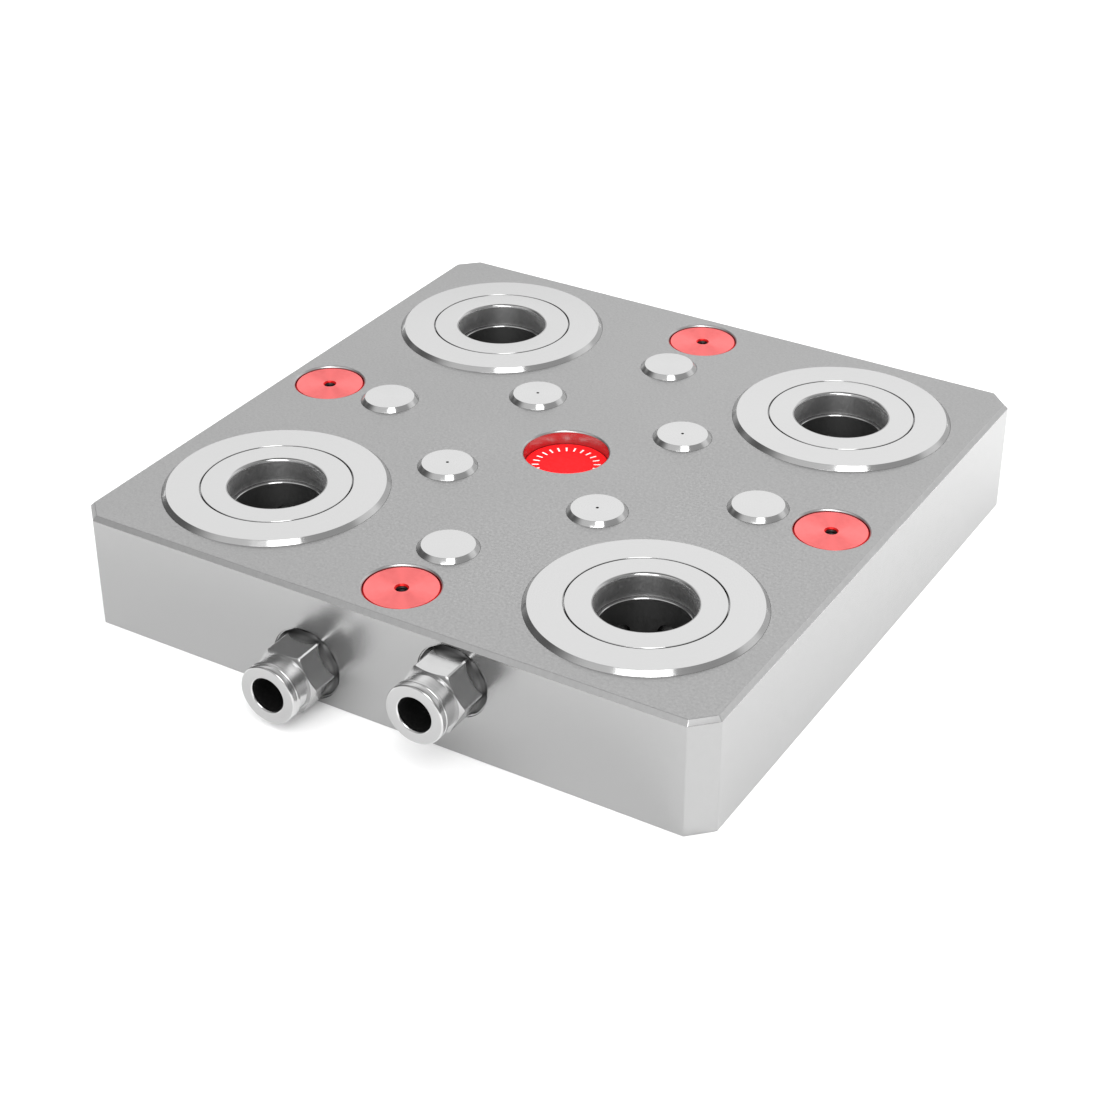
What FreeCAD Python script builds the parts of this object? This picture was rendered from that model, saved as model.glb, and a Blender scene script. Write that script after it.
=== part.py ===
import FreeCAD, Part
import math
import os
import Sketcher

# A zero point clamping plate: four spring locked ball lock modules in one square plate.
# Millimetres. Origin at the plate's centre on its underside, +Z up, the two air
# fittings on the -Y side. Every piece is built at rest, which is clamped.

# The plate
MODULE_PITCH = 96
EDGE_WALL = 6
PLATE_THICKNESS = 28
CORNER_CUT = 5
TOP_EDGE_CUT = 1
REST_RISE = 1
PRESS_GAP = 0.02
SLIP_GAP = 0.05
CUT_OVERRUN = 1

# The outer ring of a module and the pocket it closes
SPRING_ROOM = 6.2
POCKET_FLOOR = 3
RING_SEAT_DEPTH = 4
RING_EDGE_CUT = 1
RING_WALL = 1.1
SPIGOT_GAP = 0.1
SPIGOT_DEPTH = 1.5
SPIGOT_WALL = 1.1
LIP_REACH = 1.45
LIP_THICKNESS = 3
LIP_EDGE_CUT = 0.2
COVER_SEAL_RADIUS = 0.3

# The inner ring with the stud bore and the ball cage
BORE_RADIUS = 11
BORE_ROUND = 0.5
BORE_DEPTH = 4.2
RELIEF_WIDTH = 0.5
RELIEF_HEIGHT = 1.4
CAGE_STEP = 1
CAGE_WALL = 3.8
CAGE_FOOT = 1

# Balls, wedge and piston
BALL_COUNT = 6
BALL_RADIUS = 3
BALL_DEPTH = 14.5
BALL_SET_OUT = 1.6
WEDGE_SLOPE = 0.5
WEDGE_GAP = 0.03
WEDGE_DROP = 2.5
PISTON_FLOOR_GAP = 0.5
PISTON_FLOOR_THICKNESS = 3.5
PISTON_RISE = 2.5
PISTON_STEP_WIDTH = 2
GROOVE_LAND = 1.4
GROOVE_WIDTH = 1.6
GROOVE_SIDE_GAP = 0.06

# Disc springs
DISC_COUNT = 4
DISC_THICKNESS = 0.6
DISC_INNER_GAP = 0.8
DISC_OUTER_GAP = 0.6

# Module screws, driven in from the underside
SCREW_COUNT = 6
SCREW_TURN = 15
SCREW_RADIUS = 1.5
SCREW_HOLE_GAP = 0.2
HEAD_RADIUS = 2.75
HEAD_LENGTH = 3
HEAD_HOLE_GAP = 0.25
HEAD_SINK = 0.2
HEAD_WALL = 0.4
KEY_RADIUS = 1.4
KEY_DEPTH = 1.5
THREAD_DEPTH = 4
THREAD_SPARE = 0.5

# Rest pads
PAD_RADIUS = 7
PAD_EDGE_CUT = 1
PAD_SEAT_DEPTH = 4
PAD_HOLE_RADIUS = 0.3
PLAIN_PAD_FROM_BOLT = 18
DRILLED_PAD_INSET = 28

# Mounting holes with their caps, and the centre
BOLT_EDGE_DISTANCE = 12
BOLT_HOLE_RADIUS = 5.5
BOLT_SEAT_DEPTH = 15
CAP_HOLE_RADIUS = 8.5
HOLE_EDGE_CUT = 0.5
CAP_GAP = 0.08
CAP_DROP = 0.4
CAP_THICKNESS = 4
CAP_EDGE_CUT = 0.15
CAP_THREAD_RADIUS = 1.25
CAP_COUNTERSINK = 0.35
CAP_SEAL_RADIUS = 0.48
CENTRE_RADIUS = 10
CENTRE_DISC_DROP = 3.5
CENTRE_DISC_THICKNESS = 4
CENTRE_SHELF = 1

# Air ways
RELEASE_PORT_X = -17.4
BOOST_PORT_X = 20.3
RELEASE_PORT_ABOVE_WAY = 2.8
BOOST_PORT_BELOW_WAY = 2.6
SPOT_GAP = 0.55
SPOT_DEPTH = 0.4
PORT_RADIUS = 4.85
PORT_DEPTH = 10
WAY_RADIUS = 1.4
RELEASE_WAY_RISE = 3.2
BOOST_WAY_DROP = 1.9
WAY_OVERRUN = 2
PLUG_RADIUS = 2.5
PLUG_LENGTH = 4
PLUG_DROP = 0.4

# Push in fittings, measured outward from the plate's face
HEX_CORNER_RADIUS = 8.08
HEX_END = 8
HEX_FACE_INSET = 0.05
COLLAR_END = 0.3
COLLAR_RUN = 1.6
COLLAR_WAIST_IN = 0.63
COLLAR_WAIST_AT = 0.32
COLLAR_FOOT_IN = 0.98
COLLAR_FOOT_AT = 0.8
NECK_LENGTH = 4
STEM_END_GAP = 0.6
STEM_CUT = 0.6
FLOW_RADIUS = 2.6
TUBE_RADIUS = 4.05
TUBE_STOP = 3
COLLET_STEP = 1.6
COLLET_WIDTH = 1
SLEEVE_RADIUS = 6.95
SLEEVE_WALL = 0.45
SLEEVE_OVERHANG = 2
SLEEVE_OVERLAP = 0.6
SLEEVE_FRONT = 0.9
SLEEVE_NOSE_GAP = 1.2
SLEEVE_GAP = 0.07
SLEEVE_GROOVE_DEPTH = 0.12
SLEEVE_GROOVE_BACK = 1.7
SLEEVE_GROOVE_WIDTH = 0.3
SLEEVE_ROUND = 0.35
MOUTH_ROUND = 0.45

doc = FreeCAD.newDocument("clamping_plate")
sheet = doc.addObject("Spreadsheet::Sheet", "sizes")


class Size:
    """A number with the expression that the document keeps for it."""

    def __init__(self, value, text):
        self.value = value
        self.text = text

    def __add__(self, other):
        other = size(other)
        return Size(self.value + other.value, "(%s + %s)" % (self.text, other.text))

    def __sub__(self, other):
        other = size(other)
        return Size(self.value - other.value, "(%s - %s)" % (self.text, other.text))

    def __mul__(self, other):
        other = size(other)
        return Size(self.value * other.value, "%s * %s" % (self.text, other.text))

    def __truediv__(self, other):
        other = size(other)
        return Size(self.value / other.value, "%s / %s" % (self.text, other.text))

    def __neg__(self):
        return Size(-self.value, "(0 - %s)" % self.text)


def size(number):
    return number if isinstance(number, Size) else Size(number, str(number))


def put(name, value):
    """Write one driving dimension to the sheet and hand it back."""
    put.row += 1
    sheet.set("A%d" % put.row, name)
    sheet.set("B%d" % put.row, str(value))
    sheet.setAlias("B%d" % put.row, name)
    return Size(value, "sizes." + name)


put.row = 0


def along(length, angle):
    """The x and y of a point at a distance and an angle in degrees."""
    turn = math.radians(angle.value)
    x = Size(length.value * math.cos(turn), "%s * cos(%s)" % (length.text, angle.text))
    y = Size(length.value * math.sin(turn), "%s * sin(%s)" % (length.text, angle.text))
    return x, y


pitch = put("module_pitch", MODULE_PITCH)
edge_wall = put("edge_wall", EDGE_WALL)
plate_t = put("plate_thickness", PLATE_THICKNESS)
corner_cut = put("corner_cut", CORNER_CUT)
top_cut = put("top_edge_cut", TOP_EDGE_CUT)
rise = put("rest_rise", REST_RISE)
press = put("press_gap", PRESS_GAP)
slip = put("slip_gap", SLIP_GAP)
overrun = put("cut_overrun", CUT_OVERRUN)

spring_room = put("spring_room", SPRING_ROOM)
floor_t = put("pocket_floor", POCKET_FLOOR)
ring_seat = put("ring_seat_depth", RING_SEAT_DEPTH)
ring_cut = put("ring_edge_cut", RING_EDGE_CUT)
ring_wall = put("ring_wall", RING_WALL)
spigot_gap = put("spigot_gap", SPIGOT_GAP)
spigot_depth = put("spigot_depth", SPIGOT_DEPTH)
spigot_wall = put("spigot_wall", SPIGOT_WALL)
lip_reach = put("lip_reach", LIP_REACH)
lip_t = put("lip_thickness", LIP_THICKNESS)
lip_cut = put("lip_edge_cut", LIP_EDGE_CUT)
cover_seal_r = put("cover_seal_radius", COVER_SEAL_RADIUS)

bore_r = put("bore_radius", BORE_RADIUS)
bore_round = put("bore_round", BORE_ROUND)
bore_depth = put("bore_depth", BORE_DEPTH)
relief_w = put("relief_width", RELIEF_WIDTH)
relief_height = put("relief_height", RELIEF_HEIGHT)
cage_step = put("cage_step", CAGE_STEP)
cage_wall = put("cage_wall", CAGE_WALL)
cage_foot = put("cage_foot", CAGE_FOOT)

ball_r = put("ball_radius", BALL_RADIUS)
ball_depth = put("ball_depth", BALL_DEPTH)
ball_set_out = put("ball_set_out", BALL_SET_OUT)
wedge = put("wedge_slope", WEDGE_SLOPE)
wedge_gap = put("wedge_gap", WEDGE_GAP)
wedge_drop = put("wedge_drop", WEDGE_DROP)
piston_gap = put("piston_floor_gap", PISTON_FLOOR_GAP)
piston_t = put("piston_floor_thickness", PISTON_FLOOR_THICKNESS)
piston_rise = put("piston_rise", PISTON_RISE)
step_w = put("piston_step_width", PISTON_STEP_WIDTH)
groove_land = put("groove_land", GROOVE_LAND)
groove_w = put("groove_width", GROOVE_WIDTH)
groove_gap = put("groove_side_gap", GROOVE_SIDE_GAP)

disc_t = put("disc_thickness", DISC_THICKNESS)
disc_in_gap = put("disc_inner_gap", DISC_INNER_GAP)
disc_out_gap = put("disc_outer_gap", DISC_OUTER_GAP)

screw_turn = put("screw_turn", SCREW_TURN)
screw_r = put("screw_radius", SCREW_RADIUS)
screw_gap = put("screw_hole_gap", SCREW_HOLE_GAP)
head_r = put("head_radius", HEAD_RADIUS)
head_t = put("head_length", HEAD_LENGTH)
head_gap = put("head_hole_gap", HEAD_HOLE_GAP)
head_sink = put("head_sink", HEAD_SINK)
head_wall = put("head_wall", HEAD_WALL)
key_r = put("key_radius", KEY_RADIUS)
key_depth = put("key_depth", KEY_DEPTH)
thread_depth = put("thread_depth", THREAD_DEPTH)
thread_spare = put("thread_spare", THREAD_SPARE)

pad_r = put("pad_radius", PAD_RADIUS)
pad_cut = put("pad_edge_cut", PAD_EDGE_CUT)
pad_seat = put("pad_seat_depth", PAD_SEAT_DEPTH)
pad_hole_r = put("pad_hole_radius", PAD_HOLE_RADIUS)
pad_from_bolt = put("plain_pad_from_bolt", PLAIN_PAD_FROM_BOLT)
pad_inset = put("drilled_pad_inset", DRILLED_PAD_INSET)

bolt_edge = put("bolt_edge_distance", BOLT_EDGE_DISTANCE)
bolt_r = put("bolt_hole_radius", BOLT_HOLE_RADIUS)
bolt_depth = put("bolt_seat_depth", BOLT_SEAT_DEPTH)
cap_hole_r = put("cap_hole_radius", CAP_HOLE_RADIUS)
hole_cut = put("hole_edge_cut", HOLE_EDGE_CUT)
cap_gap = put("cap_gap", CAP_GAP)
cap_drop = put("cap_drop", CAP_DROP)
cap_t = put("cap_thickness", CAP_THICKNESS)
cap_cut = put("cap_edge_cut", CAP_EDGE_CUT)
cap_thread_r = put("cap_thread_radius", CAP_THREAD_RADIUS)
cap_sink = put("cap_countersink", CAP_COUNTERSINK)
cap_seal_r = put("cap_seal_radius", CAP_SEAL_RADIUS)
centre_r = put("centre_radius", CENTRE_RADIUS)
centre_drop = put("centre_disc_drop", CENTRE_DISC_DROP)
centre_t = put("centre_disc_thickness", CENTRE_DISC_THICKNESS)
centre_shelf = put("centre_shelf", CENTRE_SHELF)

release_x = put("release_port_x", RELEASE_PORT_X)
boost_x = put("boost_port_x", BOOST_PORT_X)
release_above = put("release_port_above_way", RELEASE_PORT_ABOVE_WAY)
boost_below = put("boost_port_below_way", BOOST_PORT_BELOW_WAY)
spot_gap = put("spot_gap", SPOT_GAP)
spot_t = put("spot_depth", SPOT_DEPTH)
port_r = put("port_radius", PORT_RADIUS)
port_depth = put("port_depth", PORT_DEPTH)
way_r = put("way_radius", WAY_RADIUS)
way_rise = put("release_way_rise", RELEASE_WAY_RISE)
way_drop = put("boost_way_drop", BOOST_WAY_DROP)
way_over = put("way_overrun", WAY_OVERRUN)
plug_r = put("plug_radius", PLUG_RADIUS)
plug_t = put("plug_length", PLUG_LENGTH)
plug_drop = put("plug_drop", PLUG_DROP)

hex_r = put("hex_corner_radius", HEX_CORNER_RADIUS)
hex_end = put("hex_end", HEX_END)
hex_inset = put("hex_face_inset", HEX_FACE_INSET)
collar_end = put("collar_end", COLLAR_END)
collar_run = put("collar_run", COLLAR_RUN)
waist_in = put("collar_waist_in", COLLAR_WAIST_IN)
waist_at = put("collar_waist_at", COLLAR_WAIST_AT)
foot_in = put("collar_foot_in", COLLAR_FOOT_IN)
foot_at = put("collar_foot_at", COLLAR_FOOT_AT)
neck_t = put("neck_length", NECK_LENGTH)
stem_gap = put("stem_end_gap", STEM_END_GAP)
stem_cut = put("stem_cut", STEM_CUT)
flow_r = put("flow_radius", FLOW_RADIUS)
tube_r = put("tube_radius", TUBE_RADIUS)
tube_stop = put("tube_stop", TUBE_STOP)
collet_step = put("collet_step", COLLET_STEP)
collet_w = put("collet_width", COLLET_WIDTH)
sleeve_r = put("sleeve_radius", SLEEVE_RADIUS)
sleeve_wall = put("sleeve_wall", SLEEVE_WALL)
sleeve_over = put("sleeve_overhang", SLEEVE_OVERHANG)
sleeve_lap = put("sleeve_overlap", SLEEVE_OVERLAP)
sleeve_front = put("sleeve_front", SLEEVE_FRONT)
nose_gap = put("sleeve_nose_gap", SLEEVE_NOSE_GAP)
sleeve_gap = put("sleeve_gap", SLEEVE_GAP)
sleeve_groove = put("sleeve_groove_depth", SLEEVE_GROOVE_DEPTH)
groove_back = put("sleeve_groove_back", SLEEVE_GROOVE_BACK)
groove_front_w = put("sleeve_groove_width", SLEEVE_GROOVE_WIDTH)
sleeve_round = put("sleeve_round", SLEEVE_ROUND)
mouth_round = put("mouth_round", MOUTH_ROUND)

doc.recompute()

# Places and sizes that follow from the ones above
cage_in_r = bore_r - cage_step
cage_r = cage_in_r + cage_wall
pocket_r = cage_r + spring_room
flange_r = pocket_r - spigot_wall
lip_r = flange_r - lip_reach
head_hole_r = head_r + head_gap
screw_ring = pocket_r + head_hole_r + head_wall
ring_r = screw_ring + screw_r + ring_wall
gland = (cover_seal_r + press) * (2 + math.sqrt(2)) - spigot_gap
half = pitch / 2
side_face = half + ring_r + edge_wall
top = plate_t + rise
ring_z = plate_t - ring_seat
seat_low = ring_z - spigot_depth
seat_high = top - lip_t

ball_ring = cage_in_r + ball_set_out
ball_z = top - ball_depth
cage_end = ball_z - ball_r - cage_foot
wedge_end = ball_z - wedge_drop
cone_at_ball = ball_ring + (ball_r + wedge_gap) * math.sqrt(1 + WEDGE_SLOPE ** 2)
land_r = cage_r + slip
land_z = ball_z + (cone_at_ball - land_r) / wedge
cone_low_r = cone_at_ball + (ball_z - wedge_end) * wedge

way_low = floor_t + way_rise
way_high = seat_low - way_drop
piston_z = floor_t + piston_gap
piston_top = ball_z + piston_rise
step_top = way_low + way_r
groove_r = pocket_r - groove_w
groove_low = step_top + groove_land
groove_high = groove_low + groove_w
piston_seal_r = groove_w / 2 - groove_gap

bolt_ring = side_face - bolt_edge
pad_ring = bolt_ring - pad_from_bolt
pad_diag = half - pad_inset
cap_groove_r = cap_hole_r - (cap_seal_r + press) * 2
cap_seal_z = plate_t - cap_drop - cap_t / 2

collar_r = hex_r + press
hex_face_r = hex_r * math.cos(math.pi / 6) - hex_inset
neck_r = sleeve_r - sleeve_wall
neck_end = hex_end + neck_t
sleeve_end = neck_end + sleeve_over
collet_end = tube_stop + collet_step
collet_r = tube_r + collet_w


def origin(body, role):
    return [item for item in body.Origin.OriginFeatures if item.Role == role][0]


def new_body(label):
    body = doc.addObject("PartDesign::Body", label)
    body.Label = label
    return body


def place(item, x=0, y=0, z=0, turn=0, about=(0, 0, 1)):
    """Set a part's place, with the document keeping the expressions."""
    spots = [size(value) for value in (x, y, z)]
    base = FreeCAD.Vector(*[spot.value for spot in spots])
    item.Placement = FreeCAD.Placement(base, FreeCAD.Rotation(FreeCAD.Vector(*about), turn))
    for letter, spot in zip("xyz", spots):
        item.setExpression("Placement.Base." + letter, spot.text)


def sketch_on(body, role, name, x=0, y=0, z=0):
    sketch = body.newObject("Sketcher::SketchObject", name)
    sketch.AttachmentSupport = (origin(body, role), [""])
    sketch.MapMode = "FlatFace"
    for letter, offset in zip("xyz", (x, y, z)):
        if size(offset).text != "0":
            sketch.setExpression("AttachmentOffset.Base." + letter, size(offset).text)
    return sketch


def pin_point(sketch, geo, end, x, y):
    """Hold one sketch point at x and y from the sketch's origin."""
    for kind, value, axis in (("DistanceX", size(x), -2), ("DistanceY", size(y), -1)):
        if value.text == "0":
            sketch.addConstraint(Sketcher.Constraint("PointOnObject", geo, end, axis))
        else:
            rule = Sketcher.Constraint(kind, -1, 1, geo, end, value.value)
            index = sketch.addConstraint(rule)
            sketch.setExpression("Constraints[%d]" % index, value.text)


def outline(sketch, points):
    """A closed outline of straight lines through the given points."""
    places = [FreeCAD.Vector(size(x).value, size(y).value, 0) for x, y in points]
    first = sketch.GeometryCount
    count = len(points)
    for i in range(count):
        sketch.addGeometry(Part.LineSegment(places[i], places[(i + 1) % count]))
    for i in range(count):
        after = first + (i + 1) % count
        sketch.addConstraint(Sketcher.Constraint("Coincident", first + i, 2, after, 1))
        pin_point(sketch, first + i, 1, *points[i])


def circle(sketch, x, y, radius):
    centre = FreeCAD.Vector(size(x).value, size(y).value, 0)
    geo = sketch.addGeometry(Part.Circle(centre, FreeCAD.Vector(0, 0, 1), radius.value))
    index = sketch.addConstraint(Sketcher.Constraint("Radius", geo, radius.value))
    sketch.setExpression("Constraints[%d]" % index, radius.text)
    pin_point(sketch, geo, 3, x, y)


def feature(body, kind, name, sketch):
    item = body.newObject("PartDesign::" + kind, name)
    item.Profile = sketch
    sketch.Visibility = False
    return item


def raised(body, sketch, name, length):
    pad = feature(body, "Pad", name, sketch)
    pad.setExpression("Length", length.text)
    return pad


def sunk(body, sketch, name, length, backwards=False):
    pocket = feature(body, "Pocket", name, sketch)
    pocket.setExpression("Length", size(length).text)
    pocket.Reversed = backwards
    return pocket


def turned(body, sketch, name, kind="Revolution", axis="V_Axis"):
    """A profile turned all the way round one of its sketch's own axes."""
    item = feature(body, kind, name, sketch)
    item.ReferenceAxis = (sketch, [axis])
    item.Angle = 360
    return item


def repeated(body, items, name, count):
    """Features repeated round the body's upright axis."""
    doc.recompute()
    pattern = body.newObject("PartDesign::PolarPattern", name)
    pattern.Originals = items
    pattern.Axis = (origin(body, "Z_Axis"), [""])
    pattern.Angle = 360
    pattern.Occurrences = count
    body.Tip = pattern
    doc.recompute()
    return pattern


def dressed(body, kind, name, edges, amount):
    """A fillet or chamfer on the edges that the given test picks."""
    doc.recompute()
    base = body.Tip
    names = ["Edge%d" % (i + 1) for i, edge in enumerate(base.Shape.Edges) if edges(edge)]
    item = body.newObject("PartDesign::" + kind, name)
    item.Base = (base, names)
    item.setExpression("Radius" if kind == "Fillet" else "Size", amount.text)
    body.Tip = item
    doc.recompute()


def rim(radius, height):
    """A test for the circular edges of one radius at one height."""
    def found(edge):
        round_edge = edge.Curve.TypeId == "Part::GeomCircle"
        return (round_edge and abs(edge.Curve.Radius - radius.value) < 1e-4
                and abs(edge.Curve.Center.z - height.value) < 1e-4)
    return found


def bored(body, name, x, y, points, count):
    """A turned hole of the given profile, repeated round the plate's centre."""
    sketch = sketch_on(body, "XZ_Plane", name + "_sketch", x=x, z=-size(y))
    outline(sketch, points)
    hole = turned(body, sketch, name, "Groove")
    if count > 1:
        repeated(body, [hole], name + "_all", count)


def plate_blank(body):
    edge = side_face
    cut = edge - corner_cut
    sketch = sketch_on(body, "XY_Plane", "blank_sketch")
    outline(sketch, [(cut, -edge), (edge, -cut), (edge, cut), (cut, edge),
                     (-cut, edge), (-edge, cut), (-edge, -cut), (-cut, -edge)])
    raised(body, sketch, "blank", plate_t)
    dressed(body, "Chamfer", "top_edge", lambda line: line.BoundBox.ZMin > plate_t.value - 0.01,
            top_cut)


def plate_holes(body):
    over = plate_t + overrun
    under = -overrun
    bored(body, "module_pocket", -half, -half,
          [(0, floor_t), (pocket_r, floor_t), (pocket_r, ring_z - gland),
           (pocket_r + gland, ring_z), (ring_r, ring_z), (ring_r, over), (0, over)], 4)
    bored(body, "plain_pad_seat", 0, -pad_ring,
          [(0, plate_t - pad_seat), (pad_r, plate_t - pad_seat), (pad_r, over), (0, over)], 4)
    bored(body, "drilled_pad_seat", -pad_diag, -pad_diag,
          [(0, plate_t - pad_seat), (pad_r, plate_t - pad_seat), (pad_r, over), (0, over)], 4)
    bolt_seat = plate_t - bolt_depth
    bored(body, "bolt_hole", 0, -bolt_ring,
          [(0, under), (bolt_r, under), (bolt_r, bolt_seat), (cap_hole_r, bolt_seat),
           (cap_hole_r, plate_t - hole_cut), (cap_hole_r + hole_cut, plate_t),
           (cap_hole_r + hole_cut, over), (0, over)], 4)
    shelf = plate_t - centre_drop - centre_t
    centre_low_r = centre_r - centre_shelf
    bored(body, "centre_hole", 0, 0,
          [(0, under), (centre_low_r, under), (centre_low_r, shelf), (centre_r, shelf),
           (centre_r, plate_t - hole_cut), (centre_r + hole_cut, plate_t),
           (centre_r + hole_cut, over), (0, over)], 1)


def screw_spots():
    """Screw places round the front left module, from the plate's centre."""
    spots = []
    for k in range(SCREW_COUNT):
        x, y = along(screw_ring, screw_turn + k * 360 / SCREW_COUNT)
        spots.append((x - half, y - half))
    return spots


def plate_screw_holes(body):
    shanks = sketch_on(body, "XY_Plane", "screw_hole_sketch")
    heads = sketch_on(body, "XY_Plane", "screw_head_sketch")
    for x, y in screw_spots():
        circle(shanks, x, y, screw_r + screw_gap)
        circle(heads, x, y, head_hole_r)
    holes = sunk(body, shanks, "screw_holes", ring_z + overrun, backwards=True)
    doc.recompute()
    sinks = sunk(body, heads, "screw_head_holes", head_t + head_sink, backwards=True)
    repeated(body, [holes, sinks], "screw_holes_all", 4)


def plate_air_ways(body):
    reach = side_face + half - pocket_r + way_over
    link = side_face - half
    plug_room = plug_t + plug_drop
    spot_r = collar_r + spot_gap
    for name, x, z, way_z in (("release", release_x, way_low + release_above, way_low),
                              ("boost", boost_x, way_high - boost_below, way_high)):
        for part, radius, height, depth in (("spot", spot_r, z, spot_t),
                                            ("port", port_r, z, port_depth),
                                            ("link", way_r, way_z, link)):
            sketch = sketch_on(body, "XZ_Plane", "%s_%s_sketch" % (name, part), z=side_face)
            circle(sketch, x, height, radius)
            sunk(body, sketch, "%s_%s" % (name, part), depth)
            doc.recompute()
        for part, radius, depth in (("way", way_r, reach), ("plug_hole", plug_r, plug_room)):
            across = sketch_on(body, "YZ_Plane", "%s_cross_%s_sketch" % (name, part), z=-side_face)
            circle(across, half, way_z, radius)
            circle(across, -half, way_z, radius)
            sunk(body, across, "%s_cross_%s" % (name, part), depth, backwards=True)
            doc.recompute()
            back = sketch_on(body, "XZ_Plane", "%s_long_%s_sketch" % (name, part), z=-side_face)
            circle(back, -half, way_z, radius)
            sunk(body, back, "%s_long_%s" % (name, part), depth, backwards=True)
            doc.recompute()


def base_plate():
    body = new_body("base_plate")
    plate_blank(body)
    plate_holes(body)
    plate_screw_holes(body)
    plate_air_ways(body)
    return body


def cover_ring(label):
    """The outer ring: its lip holds the seat ring down, its spigot finds the pocket."""
    body = new_body(label)
    spigot_r = pocket_r - spigot_gap
    inner_r = flange_r + slip
    sketch = sketch_on(body, "XZ_Plane", "ring_profile")
    outline(sketch, [(lip_r, seat_high), (lip_r, top - lip_cut), (lip_r + lip_cut, top),
                     (ring_r - ring_cut, top), (ring_r - press, top - ring_cut),
                     (ring_r - press, ring_z), (spigot_r, ring_z), (spigot_r, seat_low),
                     (inner_r, seat_low), (inner_r, seat_high)])
    turned(body, sketch, "ring")
    doc.recompute()
    holes = sketch_on(body, "XY_Plane", "thread_sketch", z=ring_z)
    for k in range(SCREW_COUNT):
        x, y = along(screw_ring, screw_turn + k * 360 / SCREW_COUNT)
        circle(holes, x, y, screw_r + press)
    sunk(body, holes, "threads", thread_depth, backwards=True)
    return body


def seat_ring(label):
    """The hardened inner ring with the stud bore and the cage for the balls."""
    body = new_body(label)
    boss_r = lip_r - slip
    relief_z = top - bore_depth
    relief_r = bore_r + relief_w
    ledge = relief_z - relief_height
    sketch = sketch_on(body, "XZ_Plane", "seat_profile")
    outline(sketch, [(bore_r, relief_z), (bore_r, top), (boss_r - lip_cut, top),
                     (boss_r, top - lip_cut), (boss_r, seat_high - press),
                     (flange_r, seat_high - press), (flange_r, seat_low),
                     (cage_r, seat_low), (cage_r, cage_end), (cage_in_r, cage_end),
                     (cage_in_r, ledge - lip_cut), (cage_in_r + lip_cut, ledge),
                     (relief_r, ledge), (relief_r, relief_z)])
    turned(body, sketch, "seat")
    dressed(body, "Fillet", "stud_lead_in", rim(bore_r, top), bore_round)
    ball_windows(body)
    return body


def ball_windows(body):
    """Six radial holes that end in a round seat, so a ball can't fall into the bore."""
    hole_r = ball_r + slip
    outside = cage_r + overrun
    sketch = sketch_on(body, "XZ_Plane", "window_sketch", y=ball_z)
    centre = FreeCAD.Vector(ball_ring.value, 0, 0)
    round_seat = Part.Circle(centre, FreeCAD.Vector(0, 0, 1), hole_r.value)
    arc = sketch.addGeometry(Part.ArcOfCircle(round_seat, math.pi / 2, math.pi))
    places = [(ball_ring.value, hole_r.value), (outside.value, hole_r.value),
              (outside.value, 0), (ball_ring.value - hole_r.value, 0)]
    corners = [FreeCAD.Vector(x, y, 0) for x, y in places]
    lines = [sketch.addGeometry(Part.LineSegment(corners[i], corners[i + 1])) for i in range(3)]
    joins = ((arc, 1, lines[0], 1), (lines[0], 2, lines[1], 1),
             (lines[1], 2, lines[2], 1), (lines[2], 2, arc, 2))
    for one, one_end, other, other_end in joins:
        sketch.addConstraint(Sketcher.Constraint("Coincident", one, one_end, other, other_end))
    index = sketch.addConstraint(Sketcher.Constraint("Radius", arc, hole_r.value))
    sketch.setExpression("Constraints[%d]" % index, hole_r.text)
    pin_point(sketch, arc, 3, ball_ring, 0)
    pin_point(sketch, lines[1], 2, outside, 0)
    sketch.addConstraint(Sketcher.Constraint("PointOnObject", arc, 2, -1))
    sketch.addConstraint(Sketcher.Constraint("Horizontal", lines[0]))
    sketch.addConstraint(Sketcher.Constraint("Vertical", lines[1]))
    sketch.addConstraint(Sketcher.Constraint("Vertical", arc, 3, arc, 1))
    window = turned(body, sketch, "window", "Groove", "H_Axis")
    repeated(body, [window], "windows", BALL_COUNT)


def piston(label):
    """A cup with a wedge inside: raised by air, it lets the balls move outward."""
    body = new_body(label)
    out_r = pocket_r - slip
    step_r = pocket_r - step_w
    sketch = sketch_on(body, "XZ_Plane", "piston_profile")
    outline(sketch, [(0, piston_z), (step_r, piston_z), (step_r, step_top), (out_r, step_top),
                     (out_r, groove_low), (groove_r, groove_low), (groove_r, groove_high),
                     (out_r, groove_high), (out_r, piston_top), (land_r, piston_top),
                     (land_r, land_z), (cone_low_r, wedge_end),
                     (cone_low_r, piston_z + piston_t), (0, piston_z + piston_t)])
    turned(body, sketch, "piston")
    return body


def ring_seal(label, radius, cord):
    seal = doc.addObject("Part::Torus", label)
    seal.Label = label
    seal.setExpression("Radius1", radius.text)
    seal.setExpression("Radius2", cord.text)
    return seal


def spring_stack(label):
    """Coned discs laid face to face and back to back between piston and seat ring."""
    disc_in_r = cage_r + disc_in_gap
    disc_out_r = pocket_r - disc_out_gap
    step = (seat_low - piston_top) / DISC_COUNT
    sketch = doc.addObject("Sketcher::SketchObject", label + "_profile")
    sketch.Placement.Rotation = FreeCAD.Rotation(FreeCAD.Vector(1, 0, 0), 90)
    for k in range(DISC_COUNT):
        low = piston_top + step * k
        near, far = (disc_out_r, disc_in_r) if k % 2 == 0 else (disc_in_r, disc_out_r)
        outline(sketch, [(near, low), (near, low + disc_t),
                         (far, low + step), (far, low + step - disc_t)])
    stack = doc.addObject("Part::Revolution", label)
    stack.Label = label
    stack.Source = sketch
    stack.Axis = (0, 0, 1)
    stack.Angle = 360
    stack.Solid = True
    return stack


def ball(label):
    piece = doc.addObject("Part::Sphere", label)
    piece.Label = label
    piece.setExpression("Radius", ball_r.text)
    return piece


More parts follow.
